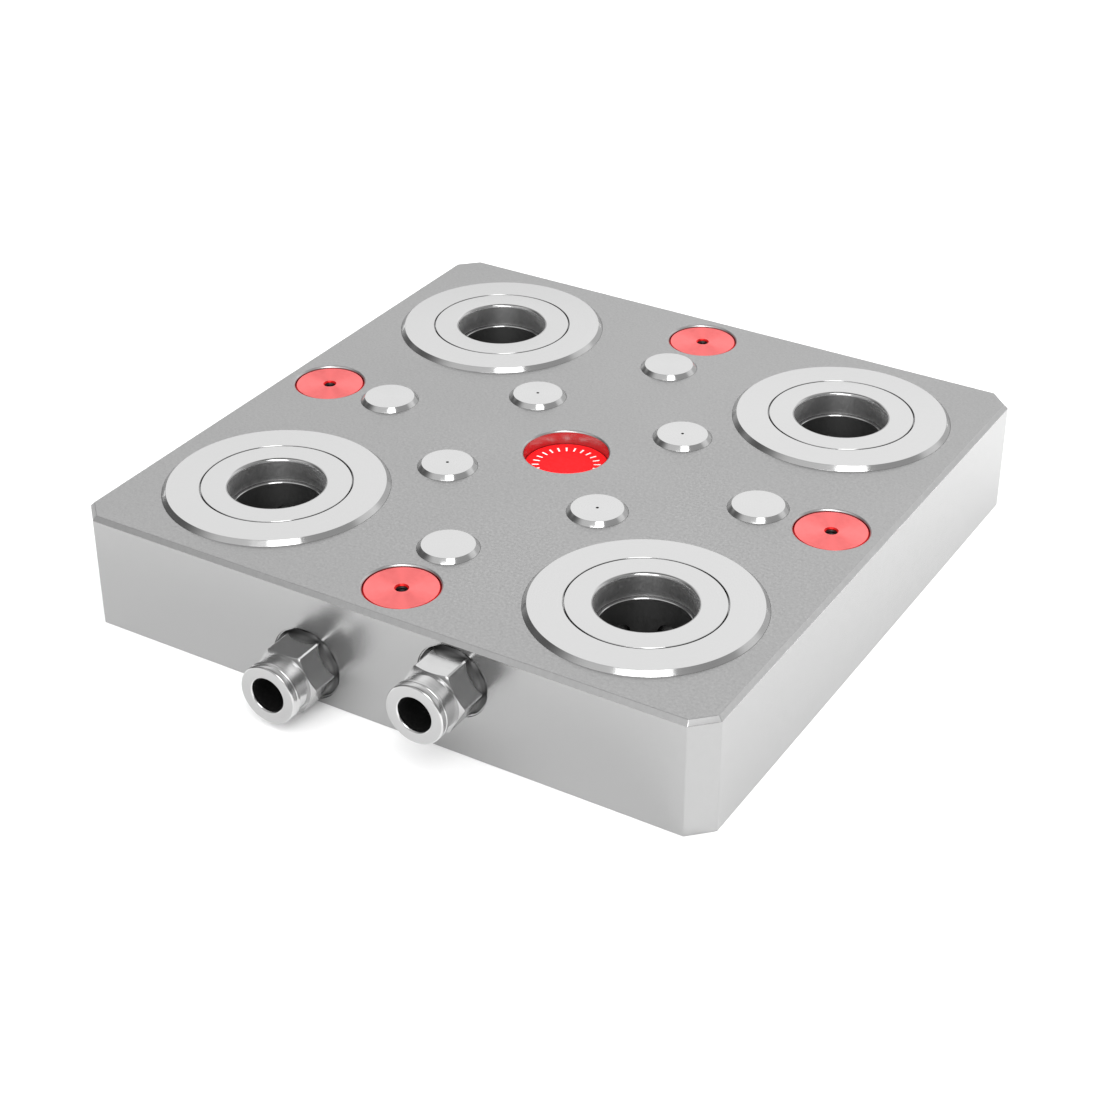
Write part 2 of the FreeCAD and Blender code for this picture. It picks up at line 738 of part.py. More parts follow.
def turned_body(label, points):
    body = new_body(label)
    sketch = sketch_on(body, "XZ_Plane", "profile")
    outline(sketch, points)
    turned(body, sketch, "turned")
    return body


def rest_pad(label, hole=0):
    low = plate_t - pad_seat
    edge = pad_r - press
    return turned_body(label, [(hole, low), (edge, low), (edge, top - pad_cut),
                               (pad_r - pad_cut, top), (hole, top)])


def hole_cap(label):
    """A red cap over a mounting bolt, with a thread to pull it out by."""
    high = plate_t - cap_drop
    low = high - cap_t
    edge = cap_hole_r - cap_gap
    groove_under = cap_seal_z - cap_seal_r - press
    groove_over = cap_seal_z + cap_seal_r + press
    return turned_body(label, [(cap_thread_r, low), (edge, low), (edge, groove_under),
                               (cap_groove_r, groove_under), (cap_groove_r, groove_over),
                               (edge, groove_over), (edge, high - cap_cut),
                               (edge - cap_cut, high), (cap_thread_r + cap_sink, high),
                               (cap_thread_r, high - cap_sink)])


def centre_disc(label):
    high = plate_t - centre_drop
    edge = centre_r - press
    return turned_body(label, [(0, high - centre_t), (edge, high - centre_t),
                               (edge, high - cap_cut), (edge - cap_cut, high), (0, high)])


def cylinder(name, radius, height, x=0, y=0, z=0, turn=0, about=(0, 0, 1)):
    item = doc.addObject("Part::Cylinder", name)
    item.setExpression("Radius", radius.text)
    item.setExpression("Height", height.text)
    place(item, x, y, z, turn, about)
    return item


def hex_key(name, depth, x=0, y=0, z=0, turn=0, about=(0, 0, 1)):
    item = doc.addObject("Part::Prism", name)
    item.Polygon = 6
    item.setExpression("Circumradius", key_r.text)
    item.setExpression("Height", depth.text)
    place(item, x, y, z, turn, about)
    return item


def combined(kind, label, **links):
    item = doc.addObject("Part::" + kind, label)
    item.Label = label
    for name, value in links.items():
        setattr(item, name, value)
    return item


def socket_screw(name, x, y):
    """A socket head screw that stands head down in the plate's underside."""
    end = ring_z + thread_depth - thread_spare
    seat = head_sink + head_t
    head = cylinder(name + "_head", head_r, head_t, x, y, head_sink)
    shank = cylinder(name + "_shank", screw_r, end - seat, x, y, seat)
    solid = combined("Fuse", name + "_solid", Base=head, Tool=shank)
    key = hex_key(name + "_key", key_depth, x, y, head_sink)
    return combined("Cut", name, Base=solid, Tool=key)


def quarter_turns(x, y):
    """The four places that a quarter turn round the plate's centre gives."""
    return [(x, y), (-y, x), (-x, -y), (y, -x)]


def module_screws():
    screws = []
    for k, (x, y) in enumerate(screw_spots()):
        for m, (sx, sy) in enumerate(quarter_turns(x, y)):
            screws.append(socket_screw("module_screw_%d_%d" % (m + 1, k + 1), sx, sy))
    return combined("Compound", "module_screws", Links=screws)


def way_plugs():
    """Set screws that close the drilled ends of the air ways."""
    plugs = []
    radius = plug_r - press
    for level, z in (("release", way_low), ("boost", way_high)):
        for spot, x, y, about in (("front", -side_face + plug_drop, -half, (0, 1, 0)),
                                  ("back", -side_face + plug_drop, half, (0, 1, 0)),
                                  ("end", -half, side_face - plug_drop, (1, 0, 0))):
            name = "%s_plug_%s" % (level, spot)
            blank = cylinder(name + "_blank", radius, plug_t, x, y, z, 90, about)
            key = hex_key(name + "_key", key_depth, x, y, z, 90, about)
            plugs.append(combined("Cut", name, Base=blank, Tool=key))
    return combined("Compound", "way_plugs", Links=plugs)


def tube_fitting(label):
    """The screwed in body of a push in fitting, built with its axis upright."""
    body = new_body(label)
    start = -spot_t
    blank = sketch_on(body, "XY_Plane", "hex_sketch", z=start)
    outline(blank, [along(hex_r, size(60) * k) if k % 3 else (hex_r if k == 0 else -hex_r, 0)
                    for k in range(6)])
    raised(body, blank, "hex", hex_end + spot_t)
    doc.recompute()
    cut = sketch_on(body, "XZ_Plane", "hex_cut_sketch")
    wide = hex_r + overrun
    slant = (wide - hex_face_r) * math.tan(math.pi / 6)
    outline(cut, [(hex_face_r, hex_end), (wide, hex_end - slant), (wide, hex_end + overrun),
                  (hex_face_r, hex_end + overrun)])
    turned(body, cut, "hex_chamfer", "Groove")
    doc.recompute()
    stem_end = stem_gap - port_depth
    stem_r = port_r - press
    profile = sketch_on(body, "XZ_Plane", "body_profile")
    outline(profile, [(flow_r, stem_end), (stem_r - stem_cut, stem_end),
                      (stem_r, stem_end + stem_cut), (stem_r, start), (collar_r, start),
                      (collar_r, collar_end), (collar_r - waist_in, collar_end + waist_at),
                      (collar_r - foot_in, collar_end + foot_at),
                      (hex_face_r, collar_end + collar_run), (neck_r, collar_end + collar_run),
                      (neck_r, neck_end), (flow_r, neck_end)])
    turned(body, profile, "turned_body")
    doc.recompute()
    inside = sketch_on(body, "XZ_Plane", "bore_profile")
    outline(inside, [(0, stem_end - overrun), (flow_r, stem_end - overrun), (flow_r, tube_stop),
                     (tube_r, tube_stop), (tube_r, collet_end), (collet_r, collet_end),
                     (collet_r, neck_end + overrun), (0, neck_end + overrun)])
    turned(body, inside, "bore", "Groove")
    return body


def release_sleeve(label):
    """The ring that is pushed in to let go of the tube; it slides over the neck."""
    body = new_body(label)
    nose_r = collet_r - slip
    nose = collet_end + nose_gap
    skirt_r = neck_r + sleeve_gap
    skirt = neck_end - sleeve_lap
    inner = sleeve_end - sleeve_front
    low = sleeve_r - sleeve_groove
    first = sleeve_end - groove_back
    last = first + groove_front_w
    sketch = sketch_on(body, "XZ_Plane", "sleeve_profile")
    outline(sketch, [(tube_r, nose), (nose_r, nose), (nose_r, inner),
                     (skirt_r, inner), (skirt_r, skirt),
                     (low, skirt), (sleeve_r, skirt + sleeve_groove),
                     (sleeve_r, first - sleeve_groove), (low, first), (low, last),
                     (sleeve_r, last + sleeve_groove), (sleeve_r, sleeve_end),
                     (tube_r, sleeve_end)])
    turned(body, sketch, "sleeve")
    dressed(body, "Fillet", "front_edge", rim(sleeve_r, sleeve_end), sleeve_round)
    dressed(body, "Fillet", "mouth_edge", rim(tube_r, sleeve_end), mouth_round)
    return body


def modules():
    """The four clamping modules, each a quarter turn on from the one before."""
    parts = []
    names = ("front_left", "front_right", "back_right", "back_left")
    seals = []
    for m, (name, (x, y)) in enumerate(zip(names, quarter_turns(-half, -half))):
        turn = 90 * m
        for make, word in ((cover_ring, "cover_ring"), (seat_ring, "seat_ring"),
                           (piston, "piston"), (spring_stack, "spring_stack")):
            part = make("%s_%s" % (word, name))
            place(part, x, y, 0, turn)
            parts.append(part)
        seal = ring_seal("piston_seal_" + name, groove_r + piston_seal_r + press, piston_seal_r)
        place(seal, x, y, groove_low + groove_w / 2)
        parts.append(seal)
        reach = cover_seal_r + press
        static = ring_seal("cover_seal_" + name, pocket_r - spigot_gap + reach, cover_seal_r)
        place(static, x, y, ring_z - reach)
        seals.append(static)
        for k in range(BALL_COUNT):
            dx, dy = along(ball_ring, size(turn) + k * 360 / BALL_COUNT)
            piece = ball("lock_ball_%s_%d" % (name, k + 1))
            place(piece, x + dx, y + dy, ball_z)
            parts.append(piece)
    parts.append(combined("Compound", "cover_seals", Links=seals))
    return parts


def caps_and_pads():
    parts = []
    seals = []
    plain = []
    drilled = []
    for word, (x, y) in zip(("front", "right", "back", "left"), quarter_turns(size(0), -bolt_ring)):
        cap = hole_cap("hole_cap_" + word)
        place(cap, x, y)
        parts.append(cap)
        seal = ring_seal("cap_seal_" + word, cap_groove_r + cap_seal_r + press, cap_seal_r)
        place(seal, x, y, cap_seal_z)
        seals.append(seal)
    for word, (x, y) in zip(("front", "right", "back", "left"), quarter_turns(size(0), -pad_ring)):
        pad = rest_pad("plain_pad_" + word)
        place(pad, x, y)
        plain.append(pad)
    for k, (x, y) in enumerate(quarter_turns(-pad_diag, -pad_diag)):
        pad = rest_pad("drilled_pad_%d" % (k + 1), pad_hole_r)
        place(pad, x, y)
        drilled.append(pad)
    parts.append(centre_disc("centre_disc"))
    parts.append(combined("Compound", "cap_seals", Links=seals))
    parts.append(combined("Compound", "plain_pads", Links=plain))
    parts.append(combined("Compound", "drilled_pads", Links=drilled))
    return parts


def fittings():
    parts = []
    for word, x, z in (("release", release_x, way_low + release_above),
                       ("boost", boost_x, way_high - boost_below)):
        for make, name in ((tube_fitting, "_fitting"), (release_sleeve, "_sleeve")):
            part = make(word + name)
            place(part, x, -side_face, z, 90, (1, 0, 0))
            parts.append(part)
    return parts


def checked(parts):
    doc.recompute()
    for item in doc.Objects:
        bad = [word for word in item.State if word in ("Invalid", "Error")]
        if bad:
            raise RuntimeError("%s is %s" % (item.Label, bad))
    for part in parts:
        if part.Shape.isNull() or not part.Shape.isValid() or not part.Shape.Solids:
            raise RuntimeError("%s has no valid solid" % part.Label)


def written(parts):
    os.makedirs("parts", exist_ok=True)
    for part in parts:
        part.Shape.exportStep("parts/%s.step" % part.Label)
        box = part.Shape.BoundBox
        print(part.Label, len(part.Shape.Solids), "solids, z %.2f to %.2f" % (box.ZMin, box.ZMax))


every_part = [base_plate()] + modules() + caps_and_pads() + fittings()
every_part += [module_screws(), way_plugs()]
checked(every_part)
written(every_part)
print(len(every_part), "parts")
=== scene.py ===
import math
import bmesh
import bpy
from mathutils import Matrix, Vector


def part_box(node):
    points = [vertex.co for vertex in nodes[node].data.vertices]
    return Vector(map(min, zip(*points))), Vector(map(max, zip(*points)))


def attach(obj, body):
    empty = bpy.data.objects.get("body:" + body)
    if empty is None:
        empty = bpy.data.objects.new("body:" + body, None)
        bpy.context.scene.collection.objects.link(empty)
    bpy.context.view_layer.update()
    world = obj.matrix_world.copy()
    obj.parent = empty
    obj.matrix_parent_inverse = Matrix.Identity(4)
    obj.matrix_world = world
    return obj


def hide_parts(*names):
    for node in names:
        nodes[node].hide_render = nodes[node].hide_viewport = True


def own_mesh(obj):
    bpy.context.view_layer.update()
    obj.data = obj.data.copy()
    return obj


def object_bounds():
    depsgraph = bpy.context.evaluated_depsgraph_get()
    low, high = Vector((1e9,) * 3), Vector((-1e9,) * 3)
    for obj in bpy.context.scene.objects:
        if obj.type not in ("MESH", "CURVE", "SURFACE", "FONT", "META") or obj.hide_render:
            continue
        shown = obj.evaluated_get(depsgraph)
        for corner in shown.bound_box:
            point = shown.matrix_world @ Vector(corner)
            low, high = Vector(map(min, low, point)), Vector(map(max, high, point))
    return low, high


# Looks of the zero point clamping plate. Lengths below are millimetres and are turned
# into Blender's metres where a mesh is made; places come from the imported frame.

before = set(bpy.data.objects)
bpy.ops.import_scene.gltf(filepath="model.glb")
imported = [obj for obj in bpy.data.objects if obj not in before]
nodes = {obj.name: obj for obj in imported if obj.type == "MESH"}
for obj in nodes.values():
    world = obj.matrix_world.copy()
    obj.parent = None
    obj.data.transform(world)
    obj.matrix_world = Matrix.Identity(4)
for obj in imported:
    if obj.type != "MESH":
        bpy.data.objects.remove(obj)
cad_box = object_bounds()
MM = 0.001
MODULES = ("front_left", "front_right", "back_right", "back_left")
SIDES = ("front", "right", "back", "left")
PORTS = ("release", "boost")


def centre_of(node):
    """The middle of a CAD node, in millimetres."""
    low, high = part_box(node)
    return (low + high) / 2 / MM


def level(node, top=True):
    low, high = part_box(node)
    return (high if top else low).z / MM


plate_top = level("base_plate")
half_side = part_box("base_plate")[1].x / MM
rest_top = level("cover_ring_front_left")
module_spots = {name: centre_of("cover_ring_" + name) for name in MODULES}
cap_spots = {name: centre_of("hole_cap_" + name) for name in SIDES}
port_spots = {name: centre_of(name + "_fitting") for name in PORTS}
pitch = module_spots["front_right"].x - module_spots["front_left"].x

# Details of the shapes: lengths in millimetres, with a few counts, angles and a slope
CORNER_CUT = 5
TOP_CUT = 1
RING_R = 26
RING_EDGE = 1
RING_GAP = 0.02
RING_SEAT = plate_top - 4
POCKET_R = 20
POCKET_FLOOR = 3
LIP_R = 17.45
LIP_CUT = 0.09
LIP_DEPTH = 3
GROOVE = 0.28
FLANGE_R = 18.9
BORE_R = 11
BORE_DEPTH = 5.65
LEDGE_DEPTH = 5.8
RELIEF_R = 11.05
MOUTH_ROUNDING = 0.75
LEDGE_EDGE = 0.14
CAGE_R = 13.8
CAGE_IN_R = 10.25
CAGE_END = 10.5
BALL_R = 3
BALL_Z = 14.5
BALL_RING = 11.6
WINDOW_R = BALL_R + 0.05
WINDOW_NEAR = 1.6
WINDOW_FAR = 2.6
BALL_COUNT = 6
PISTON_R = POCKET_R - 0.05
PISTON_FOOT_R = 18
PISTON_FOOT_END = 7.6
PISTON_FLOOR = 7
PISTON_SEAL_R = 18.4
PISTON_SEAL_LOW = 9
PISTON_SEAL_HIGH = 10.6
WEDGE_IN_R = CAGE_R + 0.05
WEDGE_OUT_R = 16.238
WEDGE_LOW = 12
WEDGE_SLOPE = 0.5
DISC_COUNT = 4
DISC_T = 0.6
DISC_IN_R = CAGE_R + 0.8
DISC_OUT_R = POCKET_R - 0.6
PAD_R = 7
PAD_SEAT = plate_top - 4
PAD_HOLE_R = 0.36
PLAIN_PAD_AT = 50
DRILLED_PAD_AT = 20
BOLT_R = 5.5
BOLT_SEAT = 13
CAP_HOLE_R = 8.5
CAP_GAP = 0.1
CAP_EDGE = 0.3
CAP_SEAL_AT = 2
CAP_SEAL_R = 7.5
CAP_SEAL_HALF = 0.48
TAP_MOUTH_R = 1.62
TAP_THROAT_R = 1.3
TAP_MOUTH_DEPTH = 0.35
TAP_LOW_R = 1.25
TAP_HIGH_R = 1.45
TAP_PITCH = 0.75
TAP_TURNS = 4
HOLE_CUT = 0.35
CENTRE_R = 10
CENTRE_LOW_R = 9
TICK_COUNT = 24
TICK_IN_R = 6.4
TICK_OUT_R = 8.1
TICK_BLUR = 0.08
SCREW_RING = 23.4
SCREW_TURN = 15
SCREW_COUNT = 6
HEAD_R = 2.75
HEAD_DEPTH = 3
HEAD_SINK = 0.2
SOCKET_R = 1.4
SOCKET_DEPTH = 1.5
SPOT_R = 8.65
SPOT_T = 0.4
PORT_R = 4.85
PORT_DEPTH = 10
PLUG_R = 2.5
PLUG_ROOM = 4.4
PLUG_SINK = 0.4
PLUG_LENGTH = 4
HEX_ACROSS = 14
HEX_END = 8
HEX_WORN = 0.5
FLARE_R = 8.4
FLARE_END = 2.4
FLARE_ARC = 2.87
FLARE_TURN = math.radians(57)
FLARE_DROP = 1.5
NECK_R = 6.5
NECK_END = 12
SLEEVE_R = 6.95
SLEEVE_END = 14
TUBE_R = 4.05
SLEEVE_IN_R = 5
STEM_END = 9.4
STEM_BORE_R = 2.6
STEM_ROOT_R = 4.35
STEM_CREST_R = 4.83
STEM_PITCH = 0.95
STEM_TURNS = 9

# Shapes


def corner_arc(before, corner, after, radius, steps=4):
    """Points of a small arc that rounds one corner of a profile."""
    back, ahead = before - corner, after - corner
    half_angle = back.angle(ahead) / 2
    reach = min(radius / math.tan(half_angle), back.length * 0.45, ahead.length * 0.45)
    size = reach * math.tan(half_angle)
    middle = corner + (back.normalized() + ahead.normalized()).normalized() * (size / math.sin(half_angle))
    start = corner + back.normalized() * reach - middle
    end = corner + ahead.normalized() * reach - middle
    turn = start.angle_signed(end)
    arc = []
    for k in range(steps + 1):
        angle = -turn * k / steps
        spun = Vector((start.x * math.cos(angle) - start.y * math.sin(angle),
                       start.x * math.sin(angle) + start.y * math.cos(angle)))
        arc.append(middle + spun)
    return arc


def profile(points, radius=0.08):
    """A closed profile of (r, z) or (r, z, rounding) corners, with its corners rounded."""
    corners = [Vector(point[:2]) for point in points]
    line = []
    for k, point in enumerate(points):
        rounding = point[2] if len(point) > 2 else radius
        if point[0] == 0 or rounding == 0:
            line.append(corners[k])
        else:
            line += corner_arc(corners[k - 1], corners[k], corners[(k + 1) % len(points)], rounding)
    return line


def new_object(name, mesh, spot=(0, 0, 0), turn=None):
    thing = bpy.data.objects.new(name, mesh)
    bpy.context.scene.collection.objects.link(thing)
    thing.matrix_world = Matrix.Translation(Vector(spot) * MM) @ (turn or Matrix.Identity(4))
    return thing


def turned_mesh(name, line, segments):
    """A profile turned all the way round the Z axis."""
    mesh = bmesh.new()
    rings = []
    for k in range(segments):
        angle = 2 * math.pi * k / segments
        rings.append([mesh.verts.new((p.x * math.cos(angle) * MM, p.x * math.sin(angle) * MM, p.y * MM))
                      for p in line])
    count = len(line)
    for k in range(segments):
        here, there = rings[k], rings[(k + 1) % segments]
        for i in range(count):
            after = (i + 1) % count
            if line[i].x or line[after].x:
                mesh.faces.new((here[i], there[i], there[after], here[after]))
    bmesh.ops.remove_doubles(mesh, verts=mesh.verts, dist=1e-8)
    bmesh.ops.dissolve_degenerate(mesh, edges=mesh.edges, dist=1e-8)
    bmesh.ops.recalc_face_normals(mesh, faces=mesh.faces)
    data = bpy.data.meshes.new(name)
    mesh.to_mesh(data)
    mesh.free()
    return data


def prism_mesh(name, corners, low, high):
    """A straight prism over a polygon, its ends at two heights."""
    mesh = bmesh.new()
    under = [mesh.verts.new((x * MM, y * MM, low * MM)) for x, y in corners]
    over = [mesh.verts.new((x * MM, y * MM, high * MM)) for x, y in corners]
    mesh.faces.new(list(reversed(under)))
    mesh.faces.new(over)
    for k in range(len(corners)):
        after = (k + 1) % len(corners)
        mesh.faces.new((under[k], under[after], over[after], over[k]))
    data = bpy.data.meshes.new(name)
    mesh.to_mesh(data)
    mesh.free()
    return data


def smooth(thing, angle=28):
    """Smooth shading that keeps flat faces flat and real edges sharp."""
    mesh = thing.data
    for face in mesh.polygons:
        face.use_smooth = True
    mesh.set_sharp_from_angle(angle=math.radians(angle))
    weighted = thing.modifiers.new("weighted normals", "WEIGHTED_NORMAL")
    weighted.keep_sharp = True
    weighted.weight = 100
    return thing


def applied(thing):
    """Give the object its mesh as the modifiers leave it, and drop the modifiers."""
    graph = bpy.context.evaluated_depsgraph_get()
    mesh = bpy.data.meshes.new_from_object(thing.evaluated_get(graph))
    thing.modifiers.clear()
    thing.data = mesh


def combine(thing, tool, operation):
    """Cut one closed mesh out of another, or keep what they share."""
    change = thing.modifiers.new("combine", "BOOLEAN")
    change.operation = operation
    change.solver = "EXACT"
    change.object = tool
    applied(thing)
    bpy.data.objects.remove(tool)


def joined(things):
    """Several objects as one, in the first one's place."""
    first = things[0]
    mesh = bmesh.new()
    for thing in things:
        part = thing.data.copy()
        part.transform(first.matrix_world.inverted() @ thing.matrix_world)
        mesh.from_mesh(part)
        bpy.data.meshes.remove(part)
    data = bpy.data.meshes.new(first.name)
    mesh.to_mesh(data)
    mesh.free()
    first.data = data
    for thing in things[1:]:
        bpy.data.objects.remove(thing)
    return first


def broken_edges(thing, width=0.1, angle=30):
    """The small rounding that every machined edge has."""
    bevel = thing.modifiers.new("broken edges", "BEVEL")
    bevel.width = width * MM
    bevel.segments = 2
    bevel.limit_method = "ANGLE"
    bevel.angle_limit = math.radians(angle)
    bevel.harden_normals = False
    applied(thing)


# Materials


class Paint:
    """One node material with short ways to add and link its nodes."""

    def __init__(self, name, colour, metallic, roughness, **sockets):
        self.material = bpy.data.materials.new(name)
        self.material.use_nodes = True
        self.tree = self.material.node_tree
        self.surface = self.tree.nodes["Principled BSDF"]
        self.set("Base Color", (*colour, 1))
        self.set("Metallic", metallic)
        self.set("Roughness", roughness)
        for key, value in sockets.items():
            self.set(key.replace("_", " "), value)

    def set(self, socket, value):
        self.surface.inputs[socket].default_value = value

    def node(self, kind, **settings):
        made = self.tree.nodes.new("ShaderNode" + kind)
        for key, value in settings.items():
            if hasattr(made, key):
                setattr(made, key, value)
            else:
                made.inputs[key.replace("_", " ")].default_value = value
        return made

    def link(self, source, target):
        self.tree.links.new(source, target)

    def to(self, source, socket):
        self.link(source, self.surface.inputs[socket])

    def place(self, scale=(1, 1, 1)):
        """Object coordinates, stretched by a scale for each axis."""
        spot = self.node("TexCoord")
        stretch = self.node("VectorMath", operation="MULTIPLY")
        self.link(spot.outputs["Object"], stretch.inputs[0])
        stretch.inputs[1].default_value = scale
        return stretch.outputs["Vector"]

    def noise(self, scale, detail=3, stretch=(1, 1, 1)):
        grain = self.node("TexNoise", Scale=scale, Detail=detail, Roughness=0.55)
        self.link(self.place(stretch), grain.inputs["Vector"])
        return grain.outputs["Fac"]

    def rings(self, per_metre):
        """Turning marks: noise along the distance from the object's Z axis."""
        flat = self.node("VectorMath", operation="LENGTH")
        self.link(self.place((1, 1, 0)), flat.inputs[0])
        line = self.node("CombineXYZ")
        self.link(flat.outputs["Value"], line.inputs["X"])
        marks = self.node("TexNoise", Scale=per_metre, Detail=2)
        self.link(line.outputs["Vector"], marks.inputs["Vector"])
        return marks.outputs["Fac"]

    def ramp(self, source, low, high, start=0.3, end=0.7):
        """A number that runs from low to high while the source runs from start to end."""
        spread = self.node("MapRange")
        self.link(source, spread.inputs["Value"])
        spread.inputs["From Min"].default_value = start
        spread.inputs["From Max"].default_value = end
        spread.inputs["To Min"].default_value = low
        spread.inputs["To Max"].default_value = high
        return spread.outputs["Result"]

    def shade(self, source, dark, light, start=0.3, end=0.7):
        """A colour that runs from dark to light with a value."""
        blend = self.node("Mix", data_type="RGBA")
        self.link(self.ramp(source, 0, 1, start, end), blend.inputs["Factor"])
        blend.inputs["A"].default_value = (*dark, 1)
        blend.inputs["B"].default_value = (*light, 1)
        return blend.outputs["Result"]

    def bump(self, source, depth):
        """Relief of a real depth in millimetres."""
        relief = self.node("Bump", Strength=1.0, Distance=depth * MM)
        self.link(source, relief.inputs["Height"])
        return relief.outputs["Normal"]

    def round_tangent(self, amount):
        """Turned metal: the gloss is drawn out across the turning marks."""
        tangent = self.node("Tangent", direction_type="RADIAL", axis="Z")
        self.to(tangent.outputs["Tangent"], "Tangent")
        self.set("Anisotropic", amount)
        self.set("Anisotropic Rotation", 0.25)


def grey(value):
    return (value, value, value)


def blasted_steel():
    """The plate's top: fine bead blasting with a faint cloudiness."""
    paint = Paint("blasted_steel", grey(0.56), 1, 0.42)
    grain = paint.noise(2400, 3)
    cloud = paint.noise(22, 2)
    tone = paint.shade(grain, grey(0.53), grey(0.595), 0.3, 0.7)
    veil = paint.node("Mix", data_type="RGBA", blend_type="MULTIPLY")
    paint.link(tone, veil.inputs["A"])
    paint.link(paint.shade(cloud, grey(0.96), grey(1.0)), veil.inputs["B"])
    veil.inputs["Factor"].default_value = 1
    paint.to(veil.outputs["Result"], "Base Color")
    paint.to(paint.ramp(paint.noise(1500, 2), 0.36, 0.5), "Roughness")
    paint.to(paint.bump(grain, 0.012), "Normal")
    return paint.material


def ground_steel():
    """The plate's sides: ground, with long fine level marks."""
    paint = Paint("ground_steel", grey(0.385), 1, 0.25)
    marks = paint.noise(1, 2, (90, 90, 3000))
    paint.to(paint.shade(paint.noise(1100, 2), grey(0.38), grey(0.39)), "Base Color")
    paint.to(paint.ramp(paint.noise(300, 2), 0.24, 0.27), "Roughness")
    paint.to(paint.bump(marks, 0.00005), "Normal")
    return paint.material


def cut_steel():
    """The narrow cuts round the plate's top and its holes: freshly milled and brighter."""
    paint = Paint("cut_steel", grey(0.66), 1, 0.3)
    paint.to(paint.shade(paint.noise(900, 3), grey(0.64), grey(0.69)), "Base Color")
    paint.to(paint.bump(paint.noise(2400, 2), 0.0008), "Normal")
    return paint.material


def bored_steel():
    """Bores, pockets and holes in the plate, with turning marks down the wall."""
    paint = Paint("bored_steel", grey(0.45), 1, 0.3)
    marks = paint.noise(1, 2, (12, 12, 4000))
    paint.to(paint.shade(marks, grey(0.42), grey(0.48)), "Base Color")
    paint.to(paint.bump(marks, 0.0004), "Normal")
    return paint.material


def turned_steel(name, light, roughness, marks=9000, depth=0.00012, stretch=0.3):
    """Hard turned and ground rings and pads."""
    paint = Paint(name, grey(light), 1, roughness)
    lines = paint.rings(marks)
    paint.to(paint.shade(lines, grey(light * 0.95), grey(min(light * 1.04, 1))), "Base Color")
    paint.to(paint.ramp(paint.noise(1600, 2), roughness * 0.92, roughness * 1.1), "Roughness")
    paint.to(paint.bump(lines, depth), "Normal")
    paint.round_tangent(stretch)
    return paint.material


def red_anodised():
    """Red anodised caps with the fan of light that turned metal shows."""
    paint = Paint("red_anodised", (1, 0.195, 0.195), 0.75, 0.3)
    lines = paint.rings(7000)
    paint.to(paint.shade(lines, (0.98, 0.185, 0.185), (1.0, 0.205, 0.205)), "Base Color")
    paint.to(paint.ramp(paint.noise(900, 3), 0.3, 0.4), "Roughness")
    paint.to(paint.bump(lines, 0.0008), "Normal")
    paint.round_tangent(0.92)
    return paint.material


def red_edge():
    """The caps' edges and tapped holes, in a darker, deeper red; in the holes this is painted shade."""
    paint = Paint("red_edge", (0.75, 0.012, 0.012), 0.7, 0.3)
    grain = paint.noise(1400, 3)
    paint.to(paint.shade(grain, (0.6, 0.008, 0.008), (0.85, 0.016, 0.016)), "Base Color")
    paint.to(paint.bump(grain, 0.002), "Normal")
    return paint.material


def printed_disc():
    """The sunk centre disc: red, with a ring of white ticks and no lettering."""
    paint = Paint("printed_disc", (0.9, 0.012, 0.016), 0, 0.6, Specular_IOR_Level=0.1)
    across = paint.node("VectorMath", operation="LENGTH")
    paint.link(paint.place((1, 1, 0)), across.inputs[0])
    split = paint.node("SeparateXYZ")
    paint.link(paint.place(), split.inputs["Vector"])
    angle = paint.node("Math", operation="ARCTAN2")
    paint.link(split.outputs["Y"], angle.inputs[0])
    paint.link(split.outputs["X"], angle.inputs[1])
    wave = paint.node("Math", operation="MULTIPLY")
    paint.link(angle.outputs["Value"], wave.inputs[0])
    wave.inputs[1].default_value = TICK_COUNT
    tick = paint.node("Math", operation="COSINE")
    paint.link(wave.outputs["Value"], tick.inputs[0])
    narrow = paint.ramp(tick.outputs["Value"], 0, 1, 0.72, 0.86)
    inside = paint.ramp(across.outputs["Value"], 0, 1, TICK_IN_R * MM, (TICK_IN_R + TICK_BLUR) * MM)
    outside = paint.ramp(across.outputs["Value"], 1, 0, (TICK_OUT_R - TICK_BLUR) * MM, TICK_OUT_R * MM)
    band = paint.node("Math", operation="MULTIPLY")
    paint.link(inside, band.inputs[0])
    paint.link(outside, band.inputs[1])
    ticks = paint.node("Math", operation="MULTIPLY")
    paint.link(band.outputs["Value"], ticks.inputs[0])
    paint.link(narrow, ticks.inputs[1])
    colour = paint.node("Mix", data_type="RGBA")
    paint.link(ticks.outputs["Value"], colour.inputs["Factor"])
    paint.link(paint.shade(paint.noise(1200, 3), (0.86, 0.01, 0.013), (0.94, 0.015, 0.019)),
               colour.inputs["A"])
    colour.inputs["B"].default_value = (0.9, 0.9, 0.88, 1)
    paint.to(colour.outputs["Result"], "Base Color")
    paint.to(paint.bump(paint.noise(1800, 2), 0.004), "Normal")
    return paint.material


def nickel_plate(name, light):
    """Bright nickel on brass, with faint polishing marks round the axis."""
    paint = Paint(name, grey(light), 1, 0.2)
    marks = paint.noise(1, 3, (120, 120, 5200))
    paint.to(paint.shade(marks, grey(light * 0.975), grey(light * 1.03)), "Base Color")
    paint.to(paint.ramp(paint.noise(500, 3), 0.17, 0.24), "Roughness")
    paint.to(paint.bump(marks, 0.0003), "Normal")
    return paint.material


